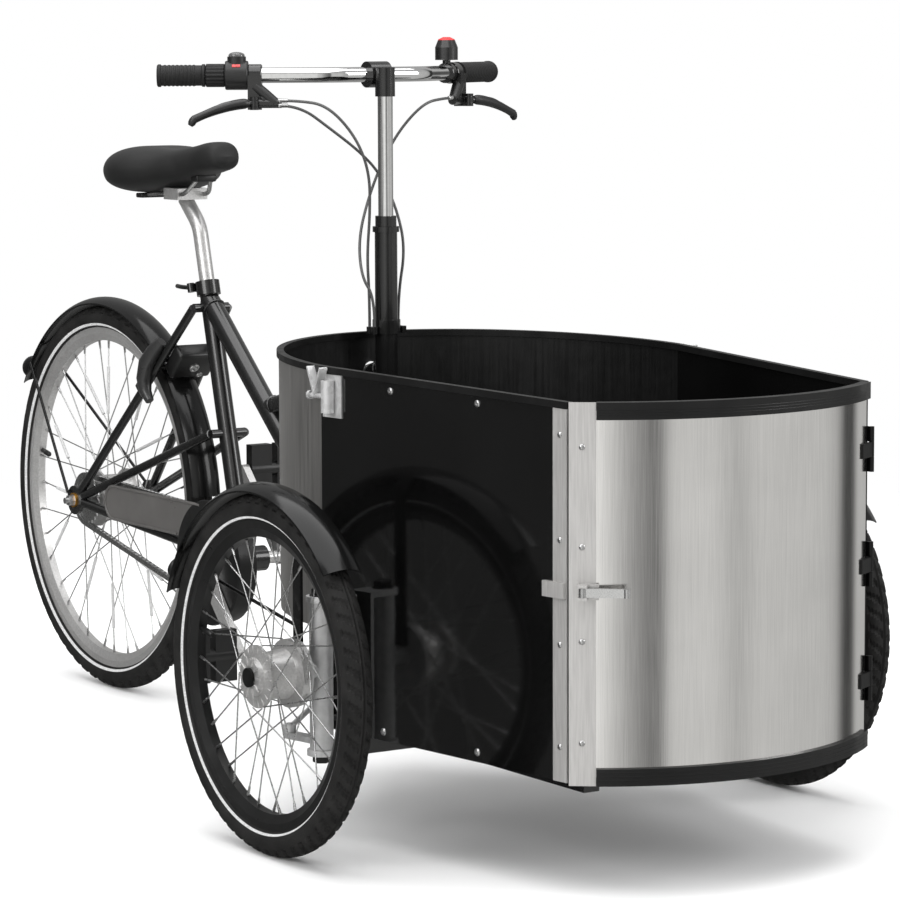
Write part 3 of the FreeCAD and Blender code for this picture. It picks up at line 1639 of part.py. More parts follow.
def frame_lock():
    """A horseshoe lock over the rear tyre, behind the seat stays."""
    seat_join = seat_top - seat_axis * float(d.seat_stay_drop)
    radial = (seat_join - rear_centre).normalize()
    tangent = LEFT.cross(radial) * -1
    inner = float(d.rear_guard_half_width + d.lock_gap)
    outer = inner + float(d.lock_leg)
    crown = float(d.rear_tyre_radius + d.guard_gap + d.guard_thickness + d.lock_gap)
    low = crown - float(d.lock_leg_length)
    bend = inner * 0.55
    start = float(d.seat_stay_radius + d.seat_gap)
    base = rear_centre + tangent * start

    def place(side, height):
        return base + LEFT * side + radial * height

    def arch(half, top, corner):
        slope = corner * (1 - math.sqrt(0.5))
        return [
            Part.LineSegment(place(-half, low), place(-half, top - corner)).toShape(),
            Part.Arc(
                place(-half, top - corner), place(-half + slope, top - slope), place(-half + corner, top)
            ).toShape(),
            Part.LineSegment(place(-half + corner, top), place(half - corner, top)).toShape(),
            Part.Arc(
                place(half - corner, top), place(half - slope, top - slope), place(half, top - corner)
            ).toShape(),
            Part.LineSegment(place(half, top - corner), place(half, low)).toShape(),
        ]

    outer_edges = arch(outer, crown + float(d.lock_leg), bend + float(d.lock_leg) / 2)
    inner_edges = arch(inner, crown, bend)
    ends = [
        Part.LineSegment(place(outer, low), place(inner, low)).toShape(),
        Part.LineSegment(place(-inner, low), place(-outer, low)).toShape(),
    ]
    wire = Part.Wire(Part.__sortEdges__(outer_edges + inner_edges + ends))
    body = Part.Face(wire).extrude(tangent * float(d.lock_thickness))
    publish("frame_lock", feature(body, "FrameLock"))


rear_axle()
rear_mudguard()
frame_lock()


# Loading box
rim_rise = (float(d.rim_rear_height) - float(d.rim_front_height)) / (
    float(d.box_rear_back) + float(d.box_corner_ahead)
)


def rim_height(ahead):
    """Height of the box's sloping rim at a place along its length."""
    return float(d.rim_front_height) + (float(d.box_corner_ahead) - ahead) * rim_rise


# Cutting blocks reach past the box by this margin
margin = float(d.box_half_width) / 3
box_rear = -float(d.box_rear_back) - margin
box_joint = -float(d.box_joint_back)
box_ahead = float(d.box_corner_ahead) + margin
box_side = float(d.box_half_width) + margin
rim_top = float(d.rim_rear_height) + margin


def slab(low, high):
    """A wide wedge between two heights below the rim, cut to follow its slope."""
    rear = box_rear
    ahead = box_ahead
    half = box_side
    corners = [
        spot(rear, -half, rim_height(rear) + low),
        spot(ahead, -half, rim_height(ahead) + low),
        spot(ahead, -half, rim_height(ahead) + high),
        spot(rear, -half, rim_height(rear) + high),
    ]
    return Part.Face(Part.makePolygon(corners + corners[:1])).extrude(LEFT * (2 * half))


side_lean = math.atan2(
    float(d.box_half_width) - float(d.box_corner_half), float(d.box_joint_back) + float(d.box_corner_ahead)
)
side_run = math.hypot(
    float(d.box_half_width) - float(d.box_corner_half), float(d.box_joint_back) + float(d.box_corner_ahead)
)


def rear_arc(inset, height):
    """The rear half of the box's plan: half an oval, set in from the outside."""
    centre = spot(-d.box_joint_back, 0, height)
    back = centre - AHEAD * (float(d.box_rear_back - d.box_joint_back) - inset)
    aside = centre + LEFT * (float(d.box_half_width) - inset / math.cos(side_lean))
    longer, shorter = (back, aside) if (back - centre).Length >= (aside - centre).Length else (aside, back)
    oval = Part.Ellipse(longer, shorter, centre)
    ends = [oval.parameter(aside), oval.parameter(centre * 2 - aside)]
    middle = oval.parameter(back)
    first, last = sorted(ends)
    if not first < middle < last:
        first, last = last, first + 2 * math.pi
    return oval.toShape(first, last)


def arc_ends(edge):
    return sorted((vertex.Point for vertex in edge.Vertexes), key=lambda point: point.y)


def plan_line(inset, height):
    """The box's wall line from its right front corner round the back to the left one."""
    arc = rear_arc(inset, height)
    corner = float(d.box_corner_half) - inset / math.cos(side_lean)
    right = spot(d.box_corner_ahead, -corner, height)
    left = spot(d.box_corner_ahead, corner, height)
    arc_right, arc_left = arc_ends(arc)
    edges = [Part.LineSegment(right, arc_right).toShape(), arc, Part.LineSegment(arc_left, left).toShape()]
    return edges, right, left


def wall_band(inset_out, inset_in, low, high):
    """An upright wall along the whole plan line, between two insets and two heights."""
    outer, outer_right, outer_left = plan_line(inset_out, low)
    inner, inner_right, inner_left = plan_line(inset_in, low)
    ends = [
        Part.LineSegment(outer_left, inner_left).toShape(),
        Part.LineSegment(inner_right, outer_right).toShape(),
    ]
    wire = Part.Wire(Part.__sortEdges__(outer + inner + ends))
    return Part.Face(wire).extrude(UP * (high - low))


def part_of_box(rear, ahead, right, left):
    """A tall block between two places along the box and two across it."""
    return Part.makeBox(ahead - rear, left - right, rim_top, spot(rear, right, 0))


def side_prism(sign, start, stop, inset_out, inset_in, low, high):
    """A straight wall along one side, from start to stop along the side's own length."""
    joint = spot(-d.box_joint_back, sign * d.box_half_width, low)
    ahead = Vector(math.cos(side_lean), -sign * math.sin(side_lean), 0)
    inward = Vector(-math.sin(side_lean), -sign * math.cos(side_lean), 0)
    corners = [
        joint + ahead * start + inward * inset_out,
        joint + ahead * stop + inward * inset_out,
        joint + ahead * stop + inward * inset_in,
        joint + ahead * start + inward * inset_in,
    ]
    return Part.Face(Part.makePolygon(corners + corners[:1])).extrude(UP * (high - low))


panel = float(d.panel_thickness)
profile_wall = float(d.rim_profile_wall)
rim_low = -float(d.rim_profile_height)
below_rim = slab(-rim_top, -profile_wall)


def side_panel(side, sign):
    wall = wall_band(0, panel, float(d.floor_under), rim_top).common(below_rim)
    reach = (0, box_side) if sign > 0 else (-box_side, 0)
    ahead_of_joint = part_of_box(box_joint, box_ahead, *reach)
    publish(f"side_panel_{side}", feature(wall.common(ahead_of_joint), "SidePanel"))


def rear_panel():
    wall = wall_band(0, panel, float(d.bench_under), rim_top).common(below_rim)
    wall = wall.common(part_of_box(box_rear, box_joint, -box_side, box_side))
    branch_run = branch_end - branch_root
    hole = Part.makeCylinder(
        float(d.branch_radius + d.column_hole_gap), branch_run.Length, branch_root, branch_run
    )
    publish("rear_panel", feature(wall.cut(hole), "RearPanel"))


def top_rim():
    """A channel profile pushed over the upper edge of the side and rear panels."""
    low = float(d.bench_under)
    whole = wall_band(-profile_wall, panel + profile_wall, low, rim_top).common(slab(rim_low, 0))
    core = wall_band(0, panel, low, rim_top).common(below_rim)
    publish("top_rim", feature(whole.cut(core), "TopRim"))


door_radius = (float(d.box_corner_half) ** 2 + float(d.door_bulge) ** 2) / (2 * float(d.door_bulge))
door_centre = float(d.box_corner_ahead) + float(d.door_bulge) - door_radius
door_half_angle = math.asin(float(d.box_corner_half) / door_radius)


def box_floor():
    """Floor, riser and rear bench, folded from one sheet."""
    inset = panel + float(d.seat_gap)
    thick = float(d.floor_thickness)
    floor_low = float(d.floor_under)
    bench_low = float(d.bench_under)
    joint_y = float(d.box_half_width) - inset
    corner_y = float(d.box_corner_half) - inset
    corner_x = float(d.box_corner_ahead)
    joint_x = -float(d.box_joint_back)
    inner_radius = door_radius - float(d.door_profile_half) - float(d.column_hole_gap)
    front_angle = math.asin(corner_y / inner_radius)
    front_x = min(door_centre + inner_radius * math.cos(front_angle), corner_x)
    front_y = corner_y
    floor_edges = [
        Part.LineSegment(spot(joint_x, joint_y, floor_low), spot(front_x, front_y, floor_low)).toShape(),
        Part.Arc(
            spot(front_x, front_y, floor_low),
            spot(door_centre + inner_radius, 0, floor_low),
            spot(front_x, -front_y, floor_low),
        ).toShape(),
        Part.LineSegment(spot(front_x, -front_y, floor_low), spot(joint_x, -joint_y, floor_low)).toShape(),
        Part.LineSegment(spot(joint_x, -joint_y, floor_low), spot(joint_x, joint_y, floor_low)).toShape(),
    ]
    floor = Part.Face(Part.Wire(floor_edges)).extrude(UP * thick)
    riser = Part.makeBox(
        thick, 2 * joint_y - 4, bench_low + thick - floor_low, spot(joint_x, -joint_y + 2, floor_low)
    )
    bench_edge = rear_arc(inset, bench_low)
    right, left = arc_ends(bench_edge)
    bench = Part.Face(Part.Wire([bench_edge, Part.LineSegment(left, right).toShape()])).extrude(UP * thick)
    hole = Part.makeCylinder(
        float(d.steerer_radius + d.column_hole_gap), 3 * thick, column + UP * (bench_low - thick), UP
    )
    whole = floor.fuse([riser, bench]).cut(hole).removeSplitter()
    publish("box_floor", feature(whole, "BoxFloor"))


def door_sector(radius_out, radius_in, first, last, low, high):
    """An upright curved band about the door's centre between two turns and two heights."""

    def place(radius, turn):
        return spot(door_centre + radius * math.cos(turn), radius * math.sin(turn), low)

    middle = (first + last) / 2
    edges = [
        Part.Arc(place(radius_out, first), place(radius_out, middle), place(radius_out, last)).toShape(),
        Part.LineSegment(place(radius_out, last), place(radius_in, last)).toShape(),
        Part.Arc(place(radius_in, last), place(radius_in, middle), place(radius_in, first)).toShape(),
        Part.LineSegment(place(radius_in, first), place(radius_out, first)).toShape(),
    ]
    return Part.Face(Part.Wire(edges)).extrude(UP * (high - low))


def door_band(radius_out, radius_in, trim, low, high, right_trim=None):
    """A band along the door, its ends trimmed back from the corners, the right one maybe further."""
    last = door_half_angle - trim / door_radius
    first = (trim if right_trim is None else right_trim) / door_radius - door_half_angle
    return door_sector(radius_out, radius_in, first, last, low, high)


door_high = float(d.rim_front_height)
door_low = float(d.door_low)
door_trim = float(d.door_end_gap)
hinge_axis = spot(
    d.box_corner_ahead + d.hinge_offset, d.box_corner_half + d.hinge_offset, 0
)
strip_end = float(d.strip_end_gap)
hinge_first = door_low + float(d.hinge_from_edge)
hinge_last = door_high - float(d.hinge_from_edge + d.hinge_length)
hinge_levels = [hinge_first, (hinge_first + hinge_last) / 2, hinge_last]


def door():
    half = float(d.door_profile_half)
    skin_out = door_radius + float(d.door_thickness) / 2
    skin_in = door_radius - float(d.door_thickness) / 2
    height = float(d.door_profile_height)
    skin = door_band(skin_out, skin_in, door_trim, door_low + height / 2, door_high - height / 2)
    profiles = []
    for low in (door_low, door_high - height):
        beside_strip = strip_end + float(d.strip_door_width + d.seat_gap)
        bar = door_band(
            door_radius + half, door_radius - half, door_trim, low, low + height, beside_strip
        )
        profiles.append(bar)
    slot = door_band(skin_out, skin_in, door_trim - 1, door_low + height / 2, door_high - height / 2)
    publish("door_skin", feature(skin, "DoorSkin"))
    gather("door_profiles", [feature(bar.cut(slot), "DoorProfile") for bar in profiles])


def door_point(from_corner, out, height, side):
    """A point beside the door, from its corner along the skin and out from it."""
    turn = SIDES[side] * (door_half_angle - from_corner / door_radius)
    radius = door_radius + out
    return spot(door_centre + radius * math.cos(turn), radius * math.sin(turn), height)


def door_way(from_corner, side):
    """The outward direction and the direction along the skin towards the door's middle."""
    turn = SIDES[side] * (door_half_angle - from_corner / door_radius)
    out = Vector(math.cos(turn), math.sin(turn), 0)
    along = Vector(math.sin(turn), -math.cos(turn), 0) * SIDES[side]
    return out, along


def door_strip():
    """The bright strip riveted along the door's opening edge."""
    inner = door_radius + float(d.door_thickness) / 2
    outer = inner + float(d.strip_thickness)
    first = strip_end / door_radius - door_half_angle
    last = first + float(d.strip_door_width) / door_radius
    return feature(door_sector(outer, inner, first, last, door_low, door_high), "DoorStrip")


def corner_strips():
    """A bright strip on the front end of each side panel, with the fixed hinge barrels and pin."""
    thick = float(d.strip_thickness)
    width = float(d.strip_side_width)
    strips = []
    for side, sign in SIDES.items():
        wall = side_prism(
            sign, side_run - width, side_run, -thick, 0, float(d.floor_under), rim_top
        ).common(slab(-rim_top, rim_low))
        pieces = []
        if side == "left":
            for level in hinge_levels:
                third = float(d.hinge_length) / 3
                for low in (level, level + 2 * third):
                    knuckle_spot = hinge_axis + UP * low
                    pieces.append(Part.makeCylinder(float(d.hinge_barrel_radius), third, knuckle_spot, UP))
                    wing_reach = float(d.hinge_offset) + width / 2
                    wing = Part.makeBox(
                        wing_reach,
                        float(d.hinge_leaf_thickness),
                        third,
                        knuckle_spot - Vector(wing_reach, float(d.hinge_barrel_radius), 0),
                    )
                    pieces.append(wing)
                pin = Part.makeCylinder(
                    float(d.hinge_pin_radius), float(d.hinge_length), hinge_axis + UP * level, UP
                )
                pieces.append(pin)
        shape = wall.fuse(pieces) if pieces else wall
        panel_body = side_prism(sign, -1, side_run + 1, 0, panel, float(d.floor_under), rim_top)
        strips.append(feature(shape.cut(panel_body), "CornerStrip"))
    return strips


def door_hinge_leaf():
    """The moving barrels of the door's hinge, each with a leaf to the skin."""
    pieces = []
    third = float(d.hinge_length) / 3
    out, along = door_way(door_trim + 2, "left")
    for level in hinge_levels:
        low = level + third + float(d.seat_gap)
        height = third - 2 * float(d.seat_gap)
        barrel = Part.makeCylinder(float(d.hinge_barrel_radius), height, hinge_axis + UP * low, UP)
        start = door_point(door_trim + 2, float(d.door_thickness) / 2, low, "left")
        inner = door_point(
            door_trim + float(d.hinge_leaf_width), float(d.door_thickness) / 2, low, "left"
        )
        corners = [
            hinge_axis + UP * low,
            hinge_axis + UP * low + out * float(d.hinge_leaf_thickness),
            inner + out * float(d.hinge_leaf_thickness),
            inner,
            start,
        ]
        leaf = Part.Face(Part.makePolygon(corners + corners[:1])).extrude(UP * height)
        bore = Part.makeCylinder(
            float(d.hinge_pin_radius + d.running_gap), height + 2, hinge_axis + UP * (low - 1), UP
        )
        keep = door_band(
            door_radius + float(d.door_thickness) / 2, door_radius - 60, 0, door_low, door_high
        )
        pieces.append(barrel.fuse(leaf).cut(keep).cut(bore))
    return [feature(piece, "HingeLeaf") for piece in pieces]


def latch():
    """A lever latch on the door's opening edge and its keeper on the side panel."""
    size = float(d.latch_size)
    thick = float(d.latch_thickness)
    level = float(d.latch_height)
    face = float(d.door_thickness) / 2 + float(d.strip_thickness)
    from_corner = door_trim + float(d.latch_from_end)
    out, along = door_way(from_corner, "right")
    root = door_point(from_corner, face, level - size / 2, "right")
    width = along * float(d.latch_width)
    base_corners = [root, root + width, root + width + out * thick, root + out * thick]
    base = Part.Face(Part.makePolygon(base_corners + base_corners[:1])).extrude(UP * size)
    ear_size = float(d.latch_ear)
    ear_thick = float(d.latch_ear_thickness)
    pivot = root + along * (ear_size / 2) + out * (thick + ear_size / 2)
    posts = []
    for low in (0, size - ear_thick):
        ear = Part.makeBox(ear_size, ear_size, ear_thick)
        ear.translate(Vector(-ear_size / 2, -ear_size * 2 / 3, 0))
        ear.rotate(Vector(0, 0, 0), UP, math.degrees(math.atan2(out.y, out.x)) - 90)
        ear.translate(pivot + UP * low)
        posts.append(ear)
    pin = Part.makeCylinder(float(d.latch_pin_radius), size, pivot, UP)
    behind = door_band(door_radius + face, door_radius - size, 0, door_low, door_high)
    base_plate = feature(base.fuse(posts + [pin]).cut(behind), "LatchBase")
    gap = float(d.seat_gap)
    lever_low = pivot + UP * (ear_thick + gap)
    lever_height = size - 2 * ear_thick - 2 * gap
    eye = Part.makeCylinder(float(d.latch_eye_radius), lever_height, lever_low, UP)
    side_way = out * float(d.latch_blade_half)
    tip = lever_low + along * float(d.latch_lever_length) + side_way
    blade_corners = [lever_low + side_way, tip + side_way, tip - side_way, lever_low - side_way]
    blade = Part.Face(Part.makePolygon(blade_corners + blade_corners[:1])).extrude(UP * lever_height)
    knob = Part.makeCylinder(float(d.latch_knob_radius), lever_height, tip, UP)
    bore = Part.makeCylinder(
        float(d.latch_pin_radius + d.running_gap), lever_height + 2 * gap, lever_low - UP * gap, UP
    )
    publish("latch_lever", feature(blade.fuse([eye, knob]).cut(bore), "LatchLever"))
    keeper_end = side_run - gap
    keeper = side_prism(
        -1,
        keeper_end - float(d.keeper_length),
        keeper_end,
        -thick - float(d.strip_thickness),
        -float(d.strip_thickness),
        level - size / 2,
        level + size / 2,
    )
    return base_plate, feature(keeper, "Keeper"), pivot


def canopy_bracket(side, sign):
    """A plate with a socket tube and a wing screw at the rear end of a side panel."""
    length = float(d.canopy_plate_length)
    height = float(d.canopy_plate_height)
    start = float(d.canopy_from_joint)
    top = rim_height(start + length - float(d.box_joint_back)) + rim_low - float(d.seat_gap)
    low = top - height
    thick = float(d.strip_thickness)
    back = side_prism(sign, start, start + length, -thick, 0, low, top)
    ahead = Vector(math.cos(side_lean), -sign * math.sin(side_lean), 0)
    inward = Vector(-math.sin(side_lean), -sign * math.cos(side_lean), 0)
    joint = spot(-d.box_joint_back, sign * d.box_half_width, 0)
    radius = float(d.canopy_tube_radius)
    centre = joint + ahead * (start + length / 2) - inward * (radius + thick / 4)
    tube_low = low + (height - float(d.canopy_tube_height)) / 2
    tube = Part.makeCylinder(radius, float(d.canopy_tube_height), centre + UP * tube_low, UP)
    stud_spot = centre + UP * (tube_low + float(d.canopy_tube_height) / 2)
    stud_length = float(d.stud_length)
    stud_root = stud_spot - ahead * (radius - thick)
    stud = Part.makeCylinder(float(d.stud_radius), stud_length, stud_root, ahead * -1)
    head = Part.makeCylinder(
        float(d.stud_head_radius),
        float(d.stud_head_length),
        stud_spot - ahead * (radius + stud_length - thick),
        ahead * -1,
    )
    bore = Part.makeCylinder(float(d.canopy_bore_radius), height * 2, centre + UP * (tube_low - radius), UP)
    wing_thick = float(d.wing_thickness)
    wing_width = float(d.wing_width)
    wings = []
    for lean in (d.wing_lean, -d.wing_lean):
        wing = Part.makeBox(wing_thick, wing_width, float(d.wing_length))
        wing.translate(Vector(-wing_thick / 2, -wing_width / 2, 0))
        wing.rotate(Vector(0, 0, 0), LEFT, float(lean))
        wing.translate(stud_spot - ahead * (radius + stud_length / 2) + UP * thick)
        wings.append(wing)
    whole = back.fuse([tube, stud, head] + wings).cut(bore)
    return feature(whole, "CanopyBracket"), centre + UP * (tube_low + float(d.canopy_tube_height) / 2)


for side, sign in SIDES.items():
    side_panel(side, sign)
rear_panel()
top_rim()
box_floor()
door()
latch_plate, latch_keeper, latch_pivot = latch()
gather("door_trim", [door_strip(), latch_plate] + door_hinge_leaf())
gather("corner_strips", corner_strips() + [latch_keeper])
canopies = {side: canopy_bracket(side, sign) for side, sign in SIDES.items()}
canopy_sockets = {side: socket for side, (bracket, socket) in canopies.items()}
gather("canopy_brackets", [bracket for bracket, socket in canopies.values()])


# Control cables, from the levers to the collar on the head tube. Each bend is a point chosen by hand,
# given ahead of the column, to the rider's left of the middle and below the handlebar.
CABLE_BENDS = {
    "brake_cable_right": ((0, -98, 43), (20, -64, 86), (20, -40, 138), (10, -33, 198), (-6, -29, 263)),
    "shift_cable": ((-20, -80, 78), (-26, -30, 110), (-30, 8, 143), (-28, 35, 193), (-12, 41, 253)),
    "brake_cable_left": (
        (-27, 85, 42), (-36, 50, 78), (-44, 24, 123), (-44, -2, 178), (-28, -30, 238), (-2, -41, 293)
    ),
}
CABLE_LEAD = 30
CABLE_DROP_IN = 44


def cable_route(label, from_side, to_side, lift, along):
    """Points of one cable, from the lever's housing past its bends to its stop on the collar."""
    middle, outward, forward = lever_frame(from_side)
    start = lever_nose_end(from_side) + UP * (lift * float(d.lever_nose_radius) / 2)
    lead = start - outward * CABLE_LEAD
    stop_height = d.collar_at + d.collar_height / 2 + d.seat_gap
    stop = column + Vector(along * d.collar_stop_shift, SIDES[to_side] * collar_stop, stop_height)
    bends = [column + Vector(ahead, left, d.bar_height - below) for ahead, left, below in CABLE_BENDS[label]]
    return [start, lead] + bends + [stop + UP * CABLE_DROP_IN, stop]


def cables():
    tubes = []
    for label, from_side, to_side, lift, along in (
        ("brake_cable_right", "right", "right", 1, -1),
        ("shift_cable", "right", "left", -1, -1),
        ("brake_cable_left", "left", "right", 1, 1),
    ):
        route = cable_route(label, from_side, to_side, lift, along)
        tube, length, radii = swept_bar(route, d.cable_radius)
        section = math.pi * float(d.cable_radius) ** 2
        share = tube.Volume / (section * length)
        print(label, "length", round(length, 1), "volume share", round(share, 4), "radii",
              [round(radius) for radius in radii])
        tubes.append(feature(tube, "Cable"))
    gather("control_cables", tubes)


cables()

doc.recompute()
faults = [obj.Label for obj in doc.Objects if "Invalid" in obj.State or "Error" in obj.State]
for obj in subparts:
    if obj.Shape.isNull() or not obj.Shape.isValid():
        faults.append(obj.Label)
if faults:
    raise RuntimeError(f"faulty objects: {faults}")

os.makedirs("parts", exist_ok=True)
for obj in subparts:
    obj.Shape.exportStep(f"parts/{obj.Label}.step")
print("sub-parts", len(subparts))
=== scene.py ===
import json
import math

import bmesh
import bpy
from mathutils import Matrix, Vector


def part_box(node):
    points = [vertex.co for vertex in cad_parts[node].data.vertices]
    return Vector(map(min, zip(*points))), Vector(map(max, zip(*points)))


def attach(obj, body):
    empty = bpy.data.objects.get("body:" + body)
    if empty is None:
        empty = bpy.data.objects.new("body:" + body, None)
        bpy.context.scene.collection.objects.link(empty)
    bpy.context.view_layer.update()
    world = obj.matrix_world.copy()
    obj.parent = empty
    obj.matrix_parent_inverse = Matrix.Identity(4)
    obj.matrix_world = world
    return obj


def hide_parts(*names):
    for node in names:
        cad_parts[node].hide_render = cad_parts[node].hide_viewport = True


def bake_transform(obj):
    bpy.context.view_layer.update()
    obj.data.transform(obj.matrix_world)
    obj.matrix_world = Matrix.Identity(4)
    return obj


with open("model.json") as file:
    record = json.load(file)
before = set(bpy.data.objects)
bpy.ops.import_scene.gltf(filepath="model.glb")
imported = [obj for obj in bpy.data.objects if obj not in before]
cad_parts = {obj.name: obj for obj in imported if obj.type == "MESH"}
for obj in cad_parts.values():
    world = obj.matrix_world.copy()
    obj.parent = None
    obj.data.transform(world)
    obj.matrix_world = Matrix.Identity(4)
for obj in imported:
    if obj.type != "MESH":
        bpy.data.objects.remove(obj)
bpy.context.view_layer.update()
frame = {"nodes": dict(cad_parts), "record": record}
nodes = frame["nodes"]
boxes = {name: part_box(name) for name in nodes}

AHEAD, LEFT, UP = Vector((1, 0, 0)), Vector((0, 1, 0)), Vector((0, 0, 1))
SIDES = {"left": 1, "right": -1}


def upright_way(turn):
    """Direction in the lengthwise upright plane, turned from ahead towards up."""
    return AHEAD * math.cos(turn) + UP * math.sin(turn)


def level_way(turn):
    """Level direction, turned from ahead towards the left."""
    return AHEAD * math.cos(turn) + LEFT * math.sin(turn)


def middle(node):
    """Centre of a CAD node's box."""
    low, high = boxes[node]
    return (low + high) / 2


def half_size(node):
    """Half of a CAD node's box."""
    low, high = boxes[node]
    return (high - low) / 2


def touch(node, origin, direction):
    """Where a ray from origin first meets a CAD node, and the surface's outward direction there."""
    found, place, normal, _ = nodes[node].ray_cast(Vector(origin), Vector(direction).normalized())
    if not found:
        raise RuntimeError(f"no surface of {node} along that ray")
    return place, normal


# Mesh building
class Piece:
    """Faces gathered into one mesh, which becomes an object that rides on a body."""

    def __init__(self):
        self.mesh = bmesh.new()

    def skin(self, rings, caps=True, loop=False):
        """Quads between rings of as many points; loop joins the last ring to the first."""
        rows = [[self.mesh.verts.new(point) for point in ring] for ring in rings]
        count = len(rows[0])
        pairs = list(zip(rows, rows[1:]))
        if loop:
            pairs.append((rows[-1], rows[0]))
        for low, high in pairs:
            for i in range(count):
                j = (i + 1) % count
                self.mesh.faces.new((low[i], low[j], high[j], high[i]))
        if caps and not loop:
            self.mesh.faces.new(list(reversed(rows[0])))
            self.mesh.faces.new(rows[-1])

    def turned(self, profile, place, axis, segments=24, loop=False, flutes=0, flute_depth=0.0):
        """(radius, along) points spun about an axis through a place, maybe with lengthwise flutes."""
        turn = Vector(axis).to_track_quat("Z", "Y")
        rings = []
        for radius, along in profile:
            ring = []
            for step in range(segments):
                angle = math.tau * step / segments
                reach = radius - flute_depth * (0.5 - 0.5 * math.cos(flutes * angle))
                offset = Vector((reach * math.cos(angle), reach * math.sin(angle), along))
                ring.append(Vector(place) + turn @ offset)
            rings.append(ring)
        self.skin(rings, loop=loop)

    def tube(self, points, radius, segments=10, loop=False):
        """A round bar along a line of points. radius is one number, or one for each point."""
        points = [Vector(point) for point in points]
        count = len(points)
        radii = radius if isinstance(radius, list) else [radius] * count
        rings = []
        side = None
        for index, point in enumerate(points):
            before = points[index - 1] if index or loop else point
            after = points[(index + 1) % count] if index < count - 1 or loop else point
            heading = (after - before).normalized()
            if side is None:
                side = heading.orthogonal().normalized()
            side = (side - heading * side.dot(heading)).normalized()
            other = heading.cross(side)
            ring = []
            for step in range(segments):
                angle = math.tau * step / segments
                ring.append(point + (side * math.cos(angle) + other * math.sin(angle)) * radii[index])
            rings.append(ring)
        self.skin(rings, loop=loop)

    def slab(self, centre, along, across, size, edge):
        """A block with rounded edges. size is its extent along, across and square to both."""
        along = Vector(along).normalized()
        across = Vector(across)
        across = (across - along * across.dot(along)).normalized()
        axes = Matrix((along, across, along.cross(across))).transposed().to_4x4()
        place = Matrix.Translation(Vector(centre)) @ axes @ Matrix.Diagonal((*size, 1))
        made = bmesh.ops.create_cube(self.mesh, size=1.0, matrix=place)
        edges = {edge for vert in made["verts"] for edge in vert.link_edges}
        bmesh.ops.bevel(self.mesh, geom=list(edges), offset=edge, segments=3, affect="EDGES", profile=0.5)

    def done(self, name, finish, body, sharp=40.0):
        """Makes the object, in a finish by name. Without a body it has no parent."""
        bmesh.ops.recalc_face_normals(self.mesh, faces=self.mesh.faces)
        data = bpy.data.meshes.new(name)
        self.mesh.to_mesh(data)
        self.mesh.free()
        data.shade_smooth()
        data.set_sharp_from_angle(angle=math.radians(sharp))
        piece = bpy.data.objects.new(name, data)
        bpy.context.scene.collection.objects.link(piece)
        data.materials.append(finishes[finish])
        if body:
            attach(piece, body)
        return piece


def turned_piece(name, profile, place, axis, finish, body, segments=32):
    """A piece that is one turned form."""
    piece = Piece()
    piece.turned(profile, place, axis, segments)
    piece.done(name, finish, body)


def smooth_between(keys, share):
    """Value at a share of the way, on a smooth line through (share, value) keys."""
    places = [key[0] for key in keys]
    values = [key[1] for key in keys]
    index = 0
    while index < len(keys) - 2 and share > places[index + 1]:
        index += 1
    span = places[index + 1] - places[index]
    part = min(max((share - places[index]) / span, 0.0), 1.0)

    def slope(at):
        if at == 0 or at == len(keys) - 1:
            return 0.0
        return (values[at + 1] - values[at - 1]) / (places[at + 1] - places[at - 1])

    start, end = values[index], values[index + 1]
    rise, fall = slope(index) * span, slope(index + 1) * span
    square, cube = part**2, part**3
    return (
        start * (2 * cube - 3 * square + 1)
        + rise * (cube - 2 * square + part)
        + end * (3 * square - 2 * cube)
        + fall * (cube - square)
    )


# Materials
class NodeTree:
    """A shader tree, and shorthand for adding nodes to it."""

    def __init__(self, tree):
        self.tree = tree

    def add(self, kind, settings=None, **inputs):
        node = self.tree.nodes.new(kind)
        for key, value in (settings or {}).items():
            setattr(node, key, value)
        for socket, value in inputs.items():
            self.feed(node.inputs[socket.replace("_", " ")], value)
        return node

    def feed(self, socket, value):
        if isinstance(value, bpy.types.NodeSocket):
            self.tree.links.new(value, socket)
        else:
            socket.default_value = value

    def math(self, operation, first, second=0.0):
        node = self.add("ShaderNodeMath", {"operation": operation})
        self.feed(node.inputs[0], first)
        self.feed(node.inputs[1], second)
        return node.outputs[0]

    def distance(self, first, second):
        """Length across two lengths that are square to one another."""
        squares = [self.math("POWER", length, 2.0) for length in (first, second)]
        return self.math("SQRT", self.math("ADD", *squares))

    def spread(self, value, low, high, start=0.3, end=0.7):
        """value from start to end, mapped from low to high."""
        node = self.add("ShaderNodeMapRange", Value=value)
        for socket, number in (("From Min", start), ("From Max", end), ("To Min", low), ("To Max", high)):
            node.inputs[socket].default_value = number
        return node.outputs["Result"]

    def tint(self, value, *stops):
        """A colour ramp of (place, colour) stops."""
        node = self.add("ShaderNodeValToRGB", Fac=value)
        elements = node.color_ramp.elements
        while len(elements) < len(stops):
            elements.new(0.5)
        for element, (place, colour) in zip(elements, stops):
            element.position = place
            element.color = (*colour, 1.0)
        return node.outputs["Color"]

    def mix(self, share, first, second):
        node = self.add("ShaderNodeMix", {"data_type": "RGBA"})
        for index, value in ((0, share), (6, first), (7, second)):
            self.feed(node.inputs[index], value)
        return node.outputs[2]


